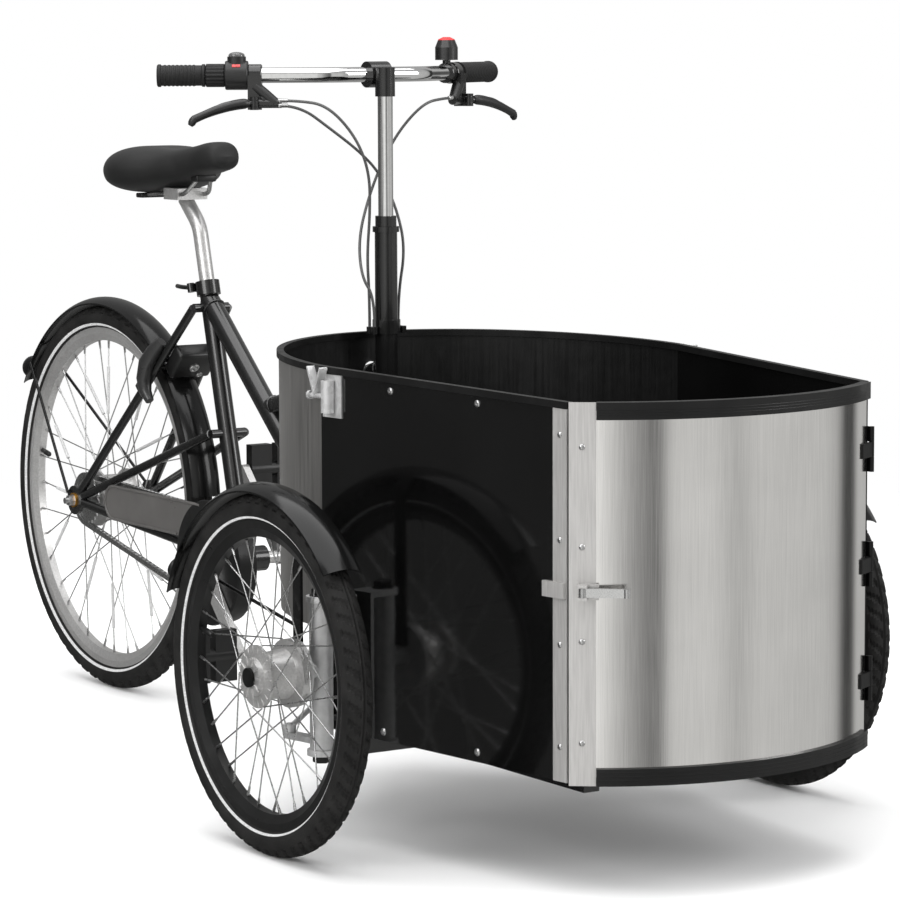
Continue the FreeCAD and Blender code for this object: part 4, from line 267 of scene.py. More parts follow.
class Finish(NodeTree):
    """A node material with one principled shader."""

    def __init__(self, name, **sockets):
        self.material = bpy.data.materials.new(name)
        self.material.use_nodes = True
        super().__init__(self.material.node_tree)
        self.shader = self.tree.nodes["Principled BSDF"]
        for socket, value in sockets.items():
            self.shader.inputs[socket.replace("_", " ")].default_value = value
        self.coords = self.add("ShaderNodeTexCoord").outputs["Object"]

    def noise(self, scale, detail=2.0, stretch=(1, 1, 1)):
        mapped = self.add("ShaderNodeMapping", Vector=self.coords, Scale=stretch)
        node = self.add("ShaderNodeTexNoise", Vector=mapped.outputs[0], Scale=scale, Detail=detail)
        return node.outputs["Fac"]

    def tones(self, value, dark, light, warm=0.0, start=0.3, end=0.7):
        """Greys from dark to light, as value goes from start to end."""
        return self.tint(value, (start, grey(dark, warm)), (end, grey(light, warm)))

    def surface(self, colour, gloss, rough, relief=None, height=None):
        """Sets the colour, a roughness that follows gloss, and relief: a bump's strength and depth."""
        self.feed(self.shader.inputs["Base Color"], colour)
        self.feed(self.shader.inputs["Roughness"], self.spread(gloss, *rough))
        if relief:
            strength, depth = relief
            bump = self.add("ShaderNodeBump", Strength=strength, Distance=depth, Height=height or gloss)
            self.feed(self.shader.inputs["Normal"], bump.outputs["Normal"])
        return self.material

    def offset_from(self, place):
        """The surface's place seen from a point, as separate coordinates."""
        moved = self.add("ShaderNodeVectorMath", {"operation": "SUBTRACT"})
        self.feed(moved.inputs[0], self.coords)
        self.feed(moved.inputs[1], tuple(place))
        return self.add("ShaderNodeSeparateXYZ", Vector=moved.outputs[0]).outputs

    def radius_about(self, place):
        """Distance from the crosswise axis through a place, such as an axle."""
        ahead, _, height = self.offset_from(place)
        return self.distance(ahead, height)

    def between(self, value, low, high, soft):
        """1 where value lies from low to high, falling to 0 over soft."""
        rising = self.spread(value, 0.0, 1.0, low - soft, low)
        falling = self.spread(value, 1.0, 0.0, high, high + soft)
        return self.math("MULTIPLY", rising, falling)


def grey(level, warm=0.0):
    return (level * (1 + warm), level, level * (1 - warm))


def coated(name, dark, light, rough, peel, coat=0.0, warm=0.0, shine=0.5):
    """Paint, powder coat or moulded plastic: slight clouding, uneven gloss and a fine skin texture."""
    finish = Finish(name, Coat_Weight=coat, Coat_Roughness=0.06, Specular_IOR_Level=shine)
    colour = finish.tones(finish.noise(7.0, 3.0), dark, light, warm)
    gloss = finish.noise(38.0, 4.0)
    return finish.surface(colour, gloss, (rough * 0.8, rough * 1.25), (0.10, 0.0004), finish.noise(peel))


def metal(name, dark, light, rough, grain, stretch, warm=0.02, anisotropy=0.0, strength=0.10, metallic=1.0):
    """Bare or plated metal with a grain that is drawn out one way."""
    finish = Finish(name, Metallic=metallic, Anisotropic=anisotropy)
    streak = finish.noise(grain, 3.0, stretch)
    cloud = finish.noise(9.0, 3.0)
    tone = finish.math("ADD", finish.math("MULTIPLY", streak, 0.6), finish.math("MULTIPLY", cloud, 0.4))
    colour = finish.tones(tone, dark, light, warm, 0.35, 0.65)
    if anisotropy:
        tangent = finish.add("ShaderNodeTangent", {"direction_type": "RADIAL", "axis": "Z"})
        finish.feed(finish.shader.inputs["Tangent"], tangent.outputs[0])
    return finish.surface(colour, streak, (rough * 0.82, rough * 1.2), (strength, 0.0002))


def grip_rubber():
    """Matt rubber with a pebbled skin."""
    finish = Finish("grip_rubber", Specular_IOR_Level=0.35)
    pebble = finish.noise(700.0, 3.0)
    colour = finish.tones(finish.noise(24.0, 4.0), 0.005, 0.011, end=0.75)
    return finish.surface(colour, pebble, (0.5456, 0.682), (0.25, 0.0006))


def galvanised_steel():
    """Hot dipped zinc: crystals of slightly different grey."""
    finish = Finish("galvanised", Metallic=0.6)
    crystals = finish.add("ShaderNodeTexVoronoi", Vector=finish.coords, Scale=160.0)
    shade = finish.add("ShaderNodeSeparateColor", Color=crystals.outputs["Color"]).outputs[0]
    colour = finish.tones(shade, 0.54, 0.66, start=0.0, end=1.0)
    height = crystals.outputs["Distance"]
    return finish.surface(colour, shade, (0.44, 0.56, 0.0, 1.0), (0.04, 0.0004), height)


def tyre_rubber(name, hub, stripe_low, stripe_high):
    """Tyre rubber with a reflective ring moulded into the wall."""
    finish = Finish(name, Specular_IOR_Level=0.2)
    base = finish.tones(finish.noise(30.0, 5.0), 0.007, 0.017, 0.03, end=0.75)
    ring = finish.between(finish.radius_about(hub), stripe_low, stripe_high, 0.0004)
    weave = finish.spread(finish.noise(420.0, 1.0), 0.85, 1.0)
    colour = finish.mix(ring, base, finish.tones(weave, 0.34, 0.62, start=0.8, end=1.0))
    return finish.surface(colour, finish.noise(900.0), (0.62, 0.82), (0.18, 0.0005))


def two_faced_panel():
    """The curved rear wall: satin metal outside, black lining inside."""
    centre = middle("rear_panel")
    centre.x = boxes["rear_panel"][1].x
    finish = Finish("rear_panel_sheet", Anisotropic=0.4)
    place = finish.offset_from(centre)
    local = finish.add(
        "ShaderNodeVectorTransform",
        {"vector_type": "NORMAL", "convert_from": "WORLD", "convert_to": "OBJECT"},
        Vector=finish.add("ShaderNodeNewGeometry").outputs["Normal"],
    )
    facing = finish.add("ShaderNodeSeparateXYZ", Vector=local.outputs[0]).outputs
    along = finish.math("MULTIPLY", place[0], facing[0])
    across = finish.math("MULTIPLY", place[1], facing[1])
    outside = finish.spread(finish.math("ADD", along, across), 0.0, 1.0, 0.0, 0.02)
    grain = finish.noise(260.0, 3.0, (1, 1, 0.03))
    lining = finish.tones(finish.noise(60.0, 4.0), 0.003, 0.006)
    finish.feed(finish.shader.inputs["Metallic"], outside)
    colour = finish.mix(outside, lining, finish.tones(grain, 0.50, 0.62, 0.02))
    return finish.surface(colour, grain, (0.30, 0.42), (0.06, 0.0002))


# Shares of the bell's height between which the red button begins
BELL_BUTTON = (0.86, 0.88)


def bell_finish():
    """Black bell with a red button on its crown."""
    finish = Finish("bell_shell", Coat_Weight=0.3, Coat_Roughness=0.1)
    low, high = boxes["bell"]
    _, _, height = finish.offset_from(low)
    crown = finish.spread(height, 0.0, 1.0, *[(high.z - low.z) * share for share in BELL_BUTTON])
    cloud = finish.noise(60.0, 3.0)
    button = finish.tint(cloud, (0.3, (0.55, 0.02, 0.025)), (0.7, (0.70, 0.03, 0.03)))
    colour = finish.mix(crown, finish.tones(cloud, 0.004, 0.009), button)
    return finish.surface(colour, cloud, (0.26, 0.38), (0.08, 0.0003), finish.noise(800.0))


AXLE_RADIUS, WASHER_EDGE = 0.0095, 0.0100


def axle_finish():
    """Bright rear axle with brass coloured lock washers beside the dropouts."""
    finish = Finish("rear_axle_steel", Metallic=1.0)
    radius = finish.radius_about(middle("rear_axle"))
    washer = finish.spread(radius, 0.0, 1.0, AXLE_RADIUS, WASHER_EDGE)
    grain = finish.noise(300.0, 3.0)
    brass = finish.tint(grain, (0.3, (0.62, 0.30, 0.05)), (0.7, (0.80, 0.42, 0.08)))
    colour = finish.mix(washer, finish.tones(grain, 0.45, 0.62), brass)
    return finish.surface(colour, grain, (0.28, 0.42), (0.1, 0.0003))


def saddle_leather():
    """Black saddle cover with a fine pebbled grain and a soft sheen."""
    finish = Finish("saddle_cover", Sheen_Weight=0.04, Sheen_Roughness=0.4, Specular_IOR_Level=0.3)
    cells = finish.add("ShaderNodeTexVoronoi", {"feature": "SMOOTH_F1"}, Vector=finish.coords, Scale=620.0)
    worn = finish.noise(16.0, 4.0)
    colour = finish.tones(worn, 0.006, 0.013, end=0.75)
    return finish.surface(colour, worn, (0.50, 0.64), (0.22, 0.0008), cells.outputs["Distance"])


def clear_dome():
    """Clear plastic of the gear indicator's window."""
    finish = Finish("clear_window", Transmission_Weight=0.9, IOR=1.45)
    scuff = finish.noise(240.0, 3.0)
    return finish.surface(finish.tones(scuff, 0.86, 0.95), scuff, (0.04, 0.12))


def signal_red():
    """Red moulded plastic of the gear indicator, the reflector and the lamps."""
    finish = Finish("indicator_red", Coat_Weight=0.4, Coat_Roughness=0.08)
    cloud = finish.noise(120.0, 3.0)
    colour = finish.tint(cloud, (0.3, (0.42, 0.012, 0.014)), (0.7, (0.60, 0.03, 0.03)))
    return finish.surface(colour, cloud, (0.22, 0.34))


def reflector_white():
    """Pale plastic of the clips on the rear spokes."""
    finish = Finish("spoke_reflector", Coat_Weight=0.3, Coat_Roughness=0.1)
    prisms = finish.noise(700.0, 1.0)
    colour = finish.tones(prisms, 0.40, 0.58, start=0.35, end=0.65)
    return finish.surface(colour, prisms, (0.25, 0.45), (0.2, 0.0004))


# Distance to the left of the middle at which the black hinge begins
HINGE_EDGE = (0.150, 0.152)


def strip_and_hinge(name):
    """Satin strips whose hinge, on the far edge of the door, is black."""
    finish = Finish(name, Metallic=0.55)
    grain = finish.noise(420.0, 3.0, (1, 1, 0.05))
    _, across, _ = finish.offset_from((0.0, 0.0, 0.0))
    black = finish.spread(across, 0.0, 1.0, *HINGE_EDGE)
    satin = finish.tones(grain, 0.43, 0.51, 0.02, 0.35, 0.65)
    colour = finish.mix(black, satin, finish.tones(grain, 0.004, 0.008, 0.0, 0.35, 0.65))
    return finish.surface(colour, grain, (0.34, 0.48), (0.03, 0.0002))


# Distance from the middle at which the black cap begins
AXLE_CAP_EDGE = (0.4545, 0.4550)


def knuckle_steel():
    """Zinc plated knuckle whose outer axle end is a black cap."""
    finish = Finish("knuckle_steel", Metallic=0.6)
    cloud = finish.noise(90.0, 3.0)
    _, across, _ = finish.offset_from((0.0, 0.0, 0.0))
    cap = finish.spread(finish.math("ABSOLUTE", across), 0.0, 1.0, *AXLE_CAP_EDGE)
    colour = finish.mix(cap, finish.tones(cloud, 0.46, 0.58), finish.tones(cloud, 0.006, 0.014))
    return finish.surface(colour, cloud, (0.40, 0.54), (0.06, 0.0003))


# Coated finishes: dark and light tone, roughness, fineness of the skin, clear coat, warmth and shine
COATED = {
    "black_paint": (0.0035, 0.007, 0.20, 900.0, 0.35),
    "black_gloss_panel": (0.002, 0.0035, 0.035, 500.0, 0.25),
    "black_profile": (0.004, 0.008, 0.38, 700.0, 0.0, 0.0, 0.28),
    "box_lining": (0.003, 0.006, 0.55, 420.0),
    "rim_black": (0.004, 0.008, 0.34, 800.0),
    "black_plastic": (0.004, 0.009, 0.40, 900.0),
    "mudguard_black": (0.003, 0.006, 0.16, 700.0, 0.08, 0.0, 0.22),
    "cable_sheath": (0.050, 0.090, 0.34, 900.0),
    "grey_cover": (0.060, 0.085, 0.34, 800.0, 0.0, 0.04),
    "lock_grey": (0.016, 0.032, 0.30, 800.0),
}
# Metals: dark and light tone, roughness, grain, its stretch, warmth, anisotropy, relief, metallic share
METALS = {
    "brushed_aluminium": (0.72, 0.84, 0.13, 900.0, (1, 1, 0.012), 0.015, 0.6, 0.03),
    "satin_aluminium": (0.50, 0.60, 0.40, 420.0, (1, 1, 0.05), 0.02, 0.0, 0.03, 0.55),
    "bare_aluminium": (0.46, 0.62, 0.34, 320.0, (1, 1, 1), 0.01, 0.0, 0.10, 0.75),
    "steel": (0.44, 0.60, 0.28, 600.0, (1, 1, 1), 0.0),
    "chrome": (0.66, 0.76, 0.07, 200.0, (1, 1, 1), 0.0, 0.0, 0.02),
}
finishes = {name: coated(name, *look) for name, look in COATED.items()}
finishes |= {name: metal(name, *look) for name, look in METALS.items()}
finishes |= {
    "galvanised": galvanised_steel(),
    "knuckle_steel": knuckle_steel(),
    "saddle_cover": saddle_leather(),
    "grip_rubber": grip_rubber(),
    "bell_black": bell_finish(),
    "clear_window": clear_dome(),
    "indicator_red": signal_red(),
    "spoke_reflector": reflector_white(),
}

# Nodes whose finish isn't their slot's own
special = {
    "rear_mudguard": finishes["mudguard_black"],
    "rear_panel": two_faced_panel(),
    "rear_axle": axle_finish(),
    "door_trim": strip_and_hinge("door_trim_metal"),
    "corner_strips": strip_and_hinge("corner_strip_metal"),
}
for side in SIDES:
    special[f"front_mudguard_{side}"] = finishes["mudguard_black"]
    special[f"knuckle_{side}"] = finishes["knuckle_steel"]

for part in frame["record"]["subparts"]:
    slots = nodes[part["node"]].data.materials
    by_slot = finishes.get(part["material_slot"], finishes["black_plastic"])
    slots.clear()
    slots.append(special.get(part["node"], by_slot))


# Camera at the photograph's place
CAMERA_PLACE = Vector((4.764936, -2.871612, 1.102624))
CAMERA_YAW, CAMERA_PITCH, CAMERA_ROLL = 2.569, -0.114, -0.004
CAMERA_LENS, CAMERA_SENSOR = 149.33, 36.0
CAMERA_REACH = 200.0


def set_camera():
    """A long lens, turned level first, then up or down, then about its own axis."""
    data = bpy.data.cameras.new("photo_camera")
    data.lens = CAMERA_LENS
    data.sensor_width = CAMERA_SENSOR
    data.sensor_fit = "HORIZONTAL"
    data.clip_end = CAMERA_REACH
    forward = level_way(CAMERA_YAW) * math.cos(CAMERA_PITCH) + UP * math.sin(CAMERA_PITCH)
    right = forward.cross(UP).normalized()
    above = right.cross(forward)
    cosine, sine = math.cos(CAMERA_ROLL), math.sin(CAMERA_ROLL)
    rolled_right = right * cosine + above * sine
    rolled_above = above * cosine - right * sine
    camera = bpy.data.objects.new("photo_camera", data)
    turn = Matrix((rolled_right, rolled_above, -forward)).transposed().to_4x4()
    camera.matrix_world = Matrix.Translation(CAMERA_PLACE) @ turn
    bpy.context.scene.collection.objects.link(camera)
    bpy.context.scene.camera = camera


# Control cables: the routes of the CAD solids, in metres
CABLE_RADIUS = 0.0021
CABLE_ROUTES = {
    "brake_cable_right": [
        (0.0875, -0.1486, 0.9915),
        (0.1038, -0.1234, 0.9915),
        (0.1403, -0.0980, 0.9850),
        (0.1603, -0.0640, 0.9420),
        (0.1603, -0.0400, 0.8900),
        (0.1502, -0.0330, 0.8300),
        (0.1343, -0.0290, 0.7650),
        (0.1333, -0.0246, 0.7063),
        (0.1333, -0.0246, 0.6623),
    ],
    "shift_cable": [
        (0.0875, -0.1486, 0.9845),
        (0.1038, -0.1234, 0.9845),
        (0.1202, -0.0800, 0.9500),
        (0.1143, -0.0300, 0.9180),
        (0.1103, 0.0080, 0.8850),
        (0.1123, 0.0350, 0.8350),
        (0.1283, 0.0410, 0.7750),
        (0.1333, 0.0246, 0.7063),
        (0.1333, 0.0246, 0.6623),
    ],
    "brake_cable_left": [
        (0.0855, 0.1516, 0.9915),
        (0.1019, 0.1264, 0.9915),
        (0.1133, 0.0850, 0.9860),
        (0.1042, 0.0500, 0.9500),
        (0.0963, 0.0240, 0.9050),
        (0.0963, -0.0020, 0.8500),
        (0.1123, -0.0300, 0.7900),
        (0.1383, -0.0410, 0.7350),
        (0.1472, -0.0246, 0.7063),
        (0.1472, -0.0246, 0.6623),
    ],
}


def spline_points(name, route):
    """Points along the smooth spline whose control points are the route's."""
    curve = bpy.data.curves.new(name + "_line", "CURVE")
    curve.dimensions = "3D"
    curve.resolution_u = 14
    spline = curve.splines.new("NURBS")
    spline.points.add(len(route) - 1)
    for point, place in zip(spline.points, route):
        point.co = (*place, 1.0)
    spline.order_u = 3
    spline.use_endpoint_u = True
    holder = bpy.data.objects.new(name + "_line", curve)
    bpy.context.scene.collection.objects.link(holder)
    bpy.context.view_layer.update()
    line = bpy.data.meshes.new_from_object(holder)
    points = [vert.co.copy() for vert in line.vertices]
    bpy.data.objects.remove(holder)
    bpy.data.meshes.remove(line)
    return points


def control_cables():
    """Cables that bend between the handlebar and the head tube."""
    for name, route in CABLE_ROUTES.items():
        points = spline_points(name, route)
        piece = Piece()
        piece.tube(points, CABLE_RADIUS, 12)
        cable = piece.done(name, "cable_sheath", None)
        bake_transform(cable)
        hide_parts("control_cables")


# Tyres with a cut tread: slanting slots from a share of the half width on, and channels round the wheel
TREAD_BLOCKS = 64
TREAD_STEPS_EACH = 8
TREAD_DEPTH = 0.0026
TREAD_REACH = math.radians(64)
TREAD_SLANT = 4.2
SLOT_LEVEL = 0.45
SLOT_START = 0.16
CHANNELS = ((0.0, 0.05), (0.34, 0.42))
WALL_REACH = math.radians(150)
WALL_STEPS = 45
STRIPE_INSET = {"front": (0.0305, 0.0330), "rear": (0.0290, 0.0325)}


def tread_cut(turn, across):
    """Share of the tread's depth that is cut away, at a turn round the wheel and an angle across it."""
    shoulder = abs(across) / TREAD_REACH
    if shoulder > 1:
        return 0.0
    slant = math.sin(turn * TREAD_BLOCKS + TREAD_SLANT * math.copysign(shoulder, across))
    slot = slant > SLOT_LEVEL and shoulder > SLOT_START
    channel = any(low <= shoulder < high for low, high in CHANNELS)
    return 1.0 if slot or channel else 0.0


def tyre(node, body, stripe):
    """Tyre with a tread, whose stripe lies between two depths below the tread."""
    hub = middle(node)
    outer = half_size(node).z
    half = half_size(node).y
    inner = min(math.hypot(v.co.x - hub.x, v.co.z - hub.z) for v in nodes[node].data.vertices)
    crown = (outer - inner) / 2
    steps = TREAD_BLOCKS * TREAD_STEPS_EACH
    rings = []
    for step in range(steps):
        turn = math.tau * step / steps
        spoke = upright_way(turn)
        ring = []
        for place in range(WALL_STEPS):
            across = -WALL_REACH + 2 * WALL_REACH * place / (WALL_STEPS - 1)
            sunk = 1 - TREAD_DEPTH * tread_cut(turn, across) / crown
            radius = outer - crown + crown * sunk * math.cos(across)
            ring.append(hub + spoke * radius + LEFT * half * sunk * math.sin(across))
        rings.append(ring)
    piece = Piece()
    piece.skin(rings, loop=True)
    finishes[node] = tyre_rubber(node + "_rubber", hub, outer - stripe[1], outer - stripe[0])
    made = piece.done(node + "_tread", node, body, sharp=30.0)
    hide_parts(node)


# Saddle: keys along it of its half width, crest and skirt as shares of the CAD solid's box
SADDLE_RINGS = 56
SADDLE_ROUND = 44
SADDLE_WIDTH = [
    (0.0, 0.02), (0.006, 0.48), (0.02, 0.76), (0.06, 0.92), (0.18, 1.0), (0.32, 0.92),
    (0.48, 0.66), (0.62, 0.48), (0.76, 0.37), (0.90, 0.31), (0.965, 0.25), (0.992, 0.15),
    (1.0, 0.01),
]
SADDLE_CREST = [
    (0.0, 0.62), (0.02, 0.77), (0.06, 0.85), (0.18, 0.88), (0.36, 0.86), (0.54, 0.855),
    (0.72, 0.93), (0.87, 1.0), (0.96, 0.95), (1.0, 0.74),
]
SADDLE_SKIRT = [
    (0.0, 0.36), (0.02, 0.14), (0.06, 0.03), (0.20, 0.0), (0.36, 0.09), (0.54, 0.22),
    (0.72, 0.35), (0.88, 0.44), (0.97, 0.51), (1.0, 0.62),
]
SADDLE_BELT = 0.45
SADDLE_SQUARE = 0.72
SADDLE_TOP_ROUND = 0.9
SADDLE_FOOT_ROUND = 0.6
SADDLE_TUCK = 0.16
SADDLE_HOLLOW = 0.004
SADDLE_HOLLOW_WIDTH = 0.016


def saddle_point(share, angle):
    """A point of the saddle's skin: share runs from tail to nose, angle round the section."""
    low, high = boxes["saddle"]
    length, depth = high.x - low.x, high.z - low.z
    half = (high.y - low.y) / 2 * smooth_between(SADDLE_WIDTH, share)
    crest = low.z + depth * smooth_between(SADDLE_CREST, share)
    skirt = low.z + depth * smooth_between(SADDLE_SKIRT, share)
    belt = skirt + (crest - skirt) * SADDLE_BELT
    cosine, sine = math.cos(angle), math.sin(angle)
    wide = math.copysign(abs(cosine) ** SADDLE_SQUARE, cosine)
    if sine >= 0:
        groove = math.exp(-((wide * half / SADDLE_HOLLOW_WIDTH) ** 2)) * math.sin(math.pi * share) ** 2
        height = belt + (crest - belt) * sine**SADDLE_TOP_ROUND - SADDLE_HOLLOW * groove * sine
    else:
        height = belt - (belt - skirt) * abs(sine) ** SADDLE_FOOT_ROUND
        wide *= 1 - SADDLE_TUCK * abs(sine)
    return Vector((low.x + length * share, wide * half, height))


def saddle():
    """Padded seat, skinned over sections from tail to nose."""
    rings = []
    for step in range(SADDLE_RINGS):
        share = (1 - math.cos(math.pi * step / (SADDLE_RINGS - 1))) / 2
        ring = [saddle_point(share, math.tau * turn / SADDLE_ROUND) for turn in range(SADDLE_ROUND)]
        rings.append(ring)
    piece = Piece()
    piece.skin(rings)
    seat = piece.done("saddle_pad", "saddle_cover", "seat", sharp=80.0)
    rounding = seat.modifiers.new("rounding", "SUBSURF")
    rounding.levels = 1
    rounding.render_levels = 1
    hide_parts("saddle")


# Handlebar ends and what sits on them
BAR_END = {side: Vector((-0.0217, sign * 0.287, 1.028)) for side, sign in SIDES.items()}
BAR_INWARD = {side: Vector((0.5455, -sign * 0.8381, 0.0)) for side, sign in SIDES.items()}
BAR_FORWARD = {side: Vector((0.8381, sign * 0.5455, 0.0)) for side, sign in SIDES.items()}
GRIP_LENGTH = {"left": 0.122, "right": 0.070}
GRIP_RADIUS = 0.0164
GRIP_WAIST = 0.0148
GRIP_OUTER_END = [
    (0.0060, 0.0),
    (GRIP_WAIST, 0.0),
    (GRIP_RADIUS, 0.0015),
    (GRIP_RADIUS, 0.0050),
    (GRIP_WAIST, 0.0064),
]
GRIP_INNER_END = [(GRIP_WAIST, -0.0060), (GRIP_RADIUS, -0.0045), (GRIP_RADIUS, -0.0008), (0.0112, 0.0)]
RIB = [(0.0, 0.0), (0.0007, 0.0008), (0.0007, 0.0034), (0.0, 0.0042)]
RIB_PITCH = 0.006
RIBS_START = 0.009


def grip(side):
    """Rubber grip with an end flange, fine rings and an inner flange."""
    length = GRIP_LENGTH[side]
    profile = list(GRIP_OUTER_END)
    for rib in range(int((length - 2 * RIBS_START) / RIB_PITCH)):
        start = RIBS_START + rib * RIB_PITCH
        profile += [(GRIP_WAIST + rise, start + along) for rise, along in RIB]
    profile += [(radius, length + along) for radius, along in GRIP_INNER_END]
    piece = Piece()
    piece.turned(profile, BAR_END[side], BAR_INWARD[side], 40)
    made = piece.done(f"grip_{side}", "grip_rubber", "steering")
    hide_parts("grips")


SLEEVE_START = 0.0703
SLEEVE_LENGTH = 0.028
SLEEVE_RADIUS = 0.017
SLEEVE_BORE = 0.0128
SLEEVE_ROUND = 0.0015
SLEEVE_FLUTES = 18
FLUTE_DEPTH = 0.0011
SHIFTER_MIDDLE = 0.1151
SHIFTER_TOP = 0.0270
SHIFTER_RADIUS = 0.021
WINDOW_DOME = [(0.0118, 0.0), (0.0118, 0.0022), (0.0105, 0.0042), (0.0072, 0.0058), (0.0030, 0.0066)]
MARK_AHEAD, MARK_ABOVE = 0.75, 0.66
MARK_SIZE = (0.012, 0.005, 0.0016)
MARK_EDGE = 0.0005


def twist_shifter():
    """Fluted twist sleeve, clear dome over the shifter and its red indicator."""
    inward = BAR_INWARD["right"]
    sleeve = Piece()
    sleeve.turned(
        [
            (SLEEVE_BORE, 0.0),
            (SLEEVE_RADIUS - SLEEVE_ROUND, 0.0),
            (SLEEVE_RADIUS, SLEEVE_ROUND),
            (SLEEVE_RADIUS, SLEEVE_LENGTH - SLEEVE_ROUND),
            (SLEEVE_RADIUS - SLEEVE_ROUND, SLEEVE_LENGTH),
            (SLEEVE_BORE, SLEEVE_LENGTH),
        ],
        BAR_END["right"] + inward * SLEEVE_START,
        inward,
        segments=8 * SLEEVE_FLUTES,
        flutes=SLEEVE_FLUTES,
        flute_depth=FLUTE_DEPTH,
    )
    made = sleeve.done("twist_sleeve", "grip_rubber", "shifter")
    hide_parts("shifter_sleeve")
    centre = BAR_END["right"] + inward * SHIFTER_MIDDLE
    turned_piece("gear_window", WINDOW_DOME, centre + UP * SHIFTER_TOP, UP, "clear_window", "steering")
    mark = Piece()
    facing = (BAR_FORWARD["right"] * MARK_AHEAD + UP * MARK_ABOVE).normalized()
    mark.slab(centre + facing * SHIFTER_RADIUS, inward, facing.cross(inward), MARK_SIZE, MARK_EDGE)
    mark.done("gear_indicator", "indicator_red", "steering")


# Brake levers: the blade follows the CAD lever, and ends in a knob and a hook
LEVER_CLAMP_AT = {"left": 0.1380, "right": 0.1416}
LEVER_CLAMP_RADIUS = 0.016
LEVER_PIVOT_AHEAD = 0.028
LEVER_DROP = 0.040
LEVER_LENGTH = 0.085
LEVER_SPLAY = 0.035
LEVER_DROOP = 0.022
LEVER_KNEE = (0.45, 0.55)
LEVER_START = 0.0090
LEVER_TAPER = [(0.0, 0.0058), (0.09, 0.0074), (0.5, 0.0070), (0.85, 0.0058), (1.0, 0.0060)]
LEVER_KNOB = [(0.0045, 0.0030), (0.0020, 0.0054), (0.0, 0.0061)]
LEVER_HOOK = 0.0100
LEVER_HOOK_DOWN, LEVER_HOOK_OUT = 0.85, 0.5
LEVER_HOOK_TAPER = [(0.6, 0.0056), (1.0, 0.0036)]
LEVER_NOSE = 0.0300
WEB_ROOT_AHEAD = 0.0112
WEB_RADII = [0.0090, 0.0086, 0.0076]
STRUT_RADIUS = 0.0068
STRUT_TOP, STRUT_FOOT = 0.4, 0.45


def brake_lever(side):
    """Tapered blade with a hooked end round the lever, and a slanting web from its clamp to its nose."""
    inward, forward = BAR_INWARD[side], BAR_FORWARD[side]
    clamp = BAR_END[side] + inward * LEVER_CLAMP_AT[side]
    pivot = clamp + forward * LEVER_PIVOT_AHEAD - UP * LEVER_DROP
    along, ahead = LEVER_KNEE
    knee = pivot - inward * (LEVER_LENGTH * along) + forward * (LEVER_SPLAY * ahead)
    tip = pivot - inward * LEVER_LENGTH + forward * LEVER_SPLAY - UP * LEVER_DROOP
    start = pivot + (knee - pivot).normalized() * LEVER_START
    line = spline_points(f"lever_{side}", [start, knee, tip])
    last = len(line) - 1
    radii = [smooth_between(LEVER_TAPER, index / last) for index in range(last + 1)]
    hook = tip - (UP * LEVER_HOOK_DOWN + inward * LEVER_HOOK_OUT).normalized() * LEVER_HOOK
    end = [tip + UP * rise for rise, _ in LEVER_KNOB]
    end += [tip.lerp(hook, share) for share, _ in LEVER_HOOK_TAPER]
    blade = Piece()
    blade.tube(line, radii, 16)
    blade.tube(end, [radius for _, radius in LEVER_KNOB + LEVER_HOOK_TAPER], 16)
    blade.done(f"lever_blade_{side}", "black_plastic", f"lever_{side}")
    foot = clamp + forward * LEVER_CLAMP_RADIUS - UP * LEVER_DROP
    nose = foot + inward * LEVER_NOSE
    root = clamp + forward * WEB_ROOT_AHEAD - UP * LEVER_CLAMP_RADIUS
    web = Piece()
    web.tube([root, root.lerp(nose, 0.5), nose], WEB_RADII, 16)
    web.tube([root.lerp(nose, STRUT_TOP), foot.lerp(nose, STRUT_FOOT)], STRUT_RADIUS, 16)
    web.done(f"lever_web_{side}", "black_plastic", "steering")


FERRULE = [
    (0.0032, -0.001),
    (0.0036, 0.0),
    (0.0036, 0.0045),
    (0.0030, 0.0055),
    (0.0030, 0.0130),
    (0.0023, 0.0140),
]


def cable_ferrules():
    """Bright adjusters where the cables leave the levers."""
    piece = Piece()
    for route in CABLE_ROUTES.values():
        heading = Vector(route[1]) - Vector(route[0])
        piece.turned(FERRULE, route[0], heading, 14)
    piece.done("cable_ferrules", "steel", "steering")


# Screws, rivets and nuts
PAN_HEAD = [(1.0, 0.0), (1.0, 0.25), (0.86, 0.62), (0.52, 0.86), (0.46, 0.86), (0.42, 0.45)]
DOME_HEAD = [(1.0, 0.0), (0.92, 0.34), (0.66, 0.74), (0.25, 0.97)]
PANEL_SCREWS = ((0.5843, 0.161), (0.6033, 0.620), (0.7793, 0.617), (0.7773, 0.162))
STRIP_RIVET_HEIGHTS = (0.1935, 0.324, 0.457, 0.590)
DOOR_RIVET_HEIGHTS = (0.2006, 0.3300, 0.4500, 0.576)
DOOR_CENTRE = Vector((0.6717, 0.0, 0.0))
DOOR_RADIUS = 0.36855
DOOR_HALF_ANGLE = 0.7056
RIVET_FROM_CORNER = 0.018
SCREW_SIZE = (0.0052, 0.0034)
RIVET_SIZE = (0.0042, 0.0024)
HEAD_SUNK = 0.12
STRIP_AHEAD = 0.9395
WELL_OUTSIDE = 0.6


def head(piece, shape, place, normal, size):
    """A screw or rivet head of a radius and a height on a surface, its foot slightly sunk."""
    radius, height = size
    profile = [(share * radius, rise * height) for share, rise in shape]
    piece.turned(profile, place - normal * (height * HEAD_SUNK), normal, 16)


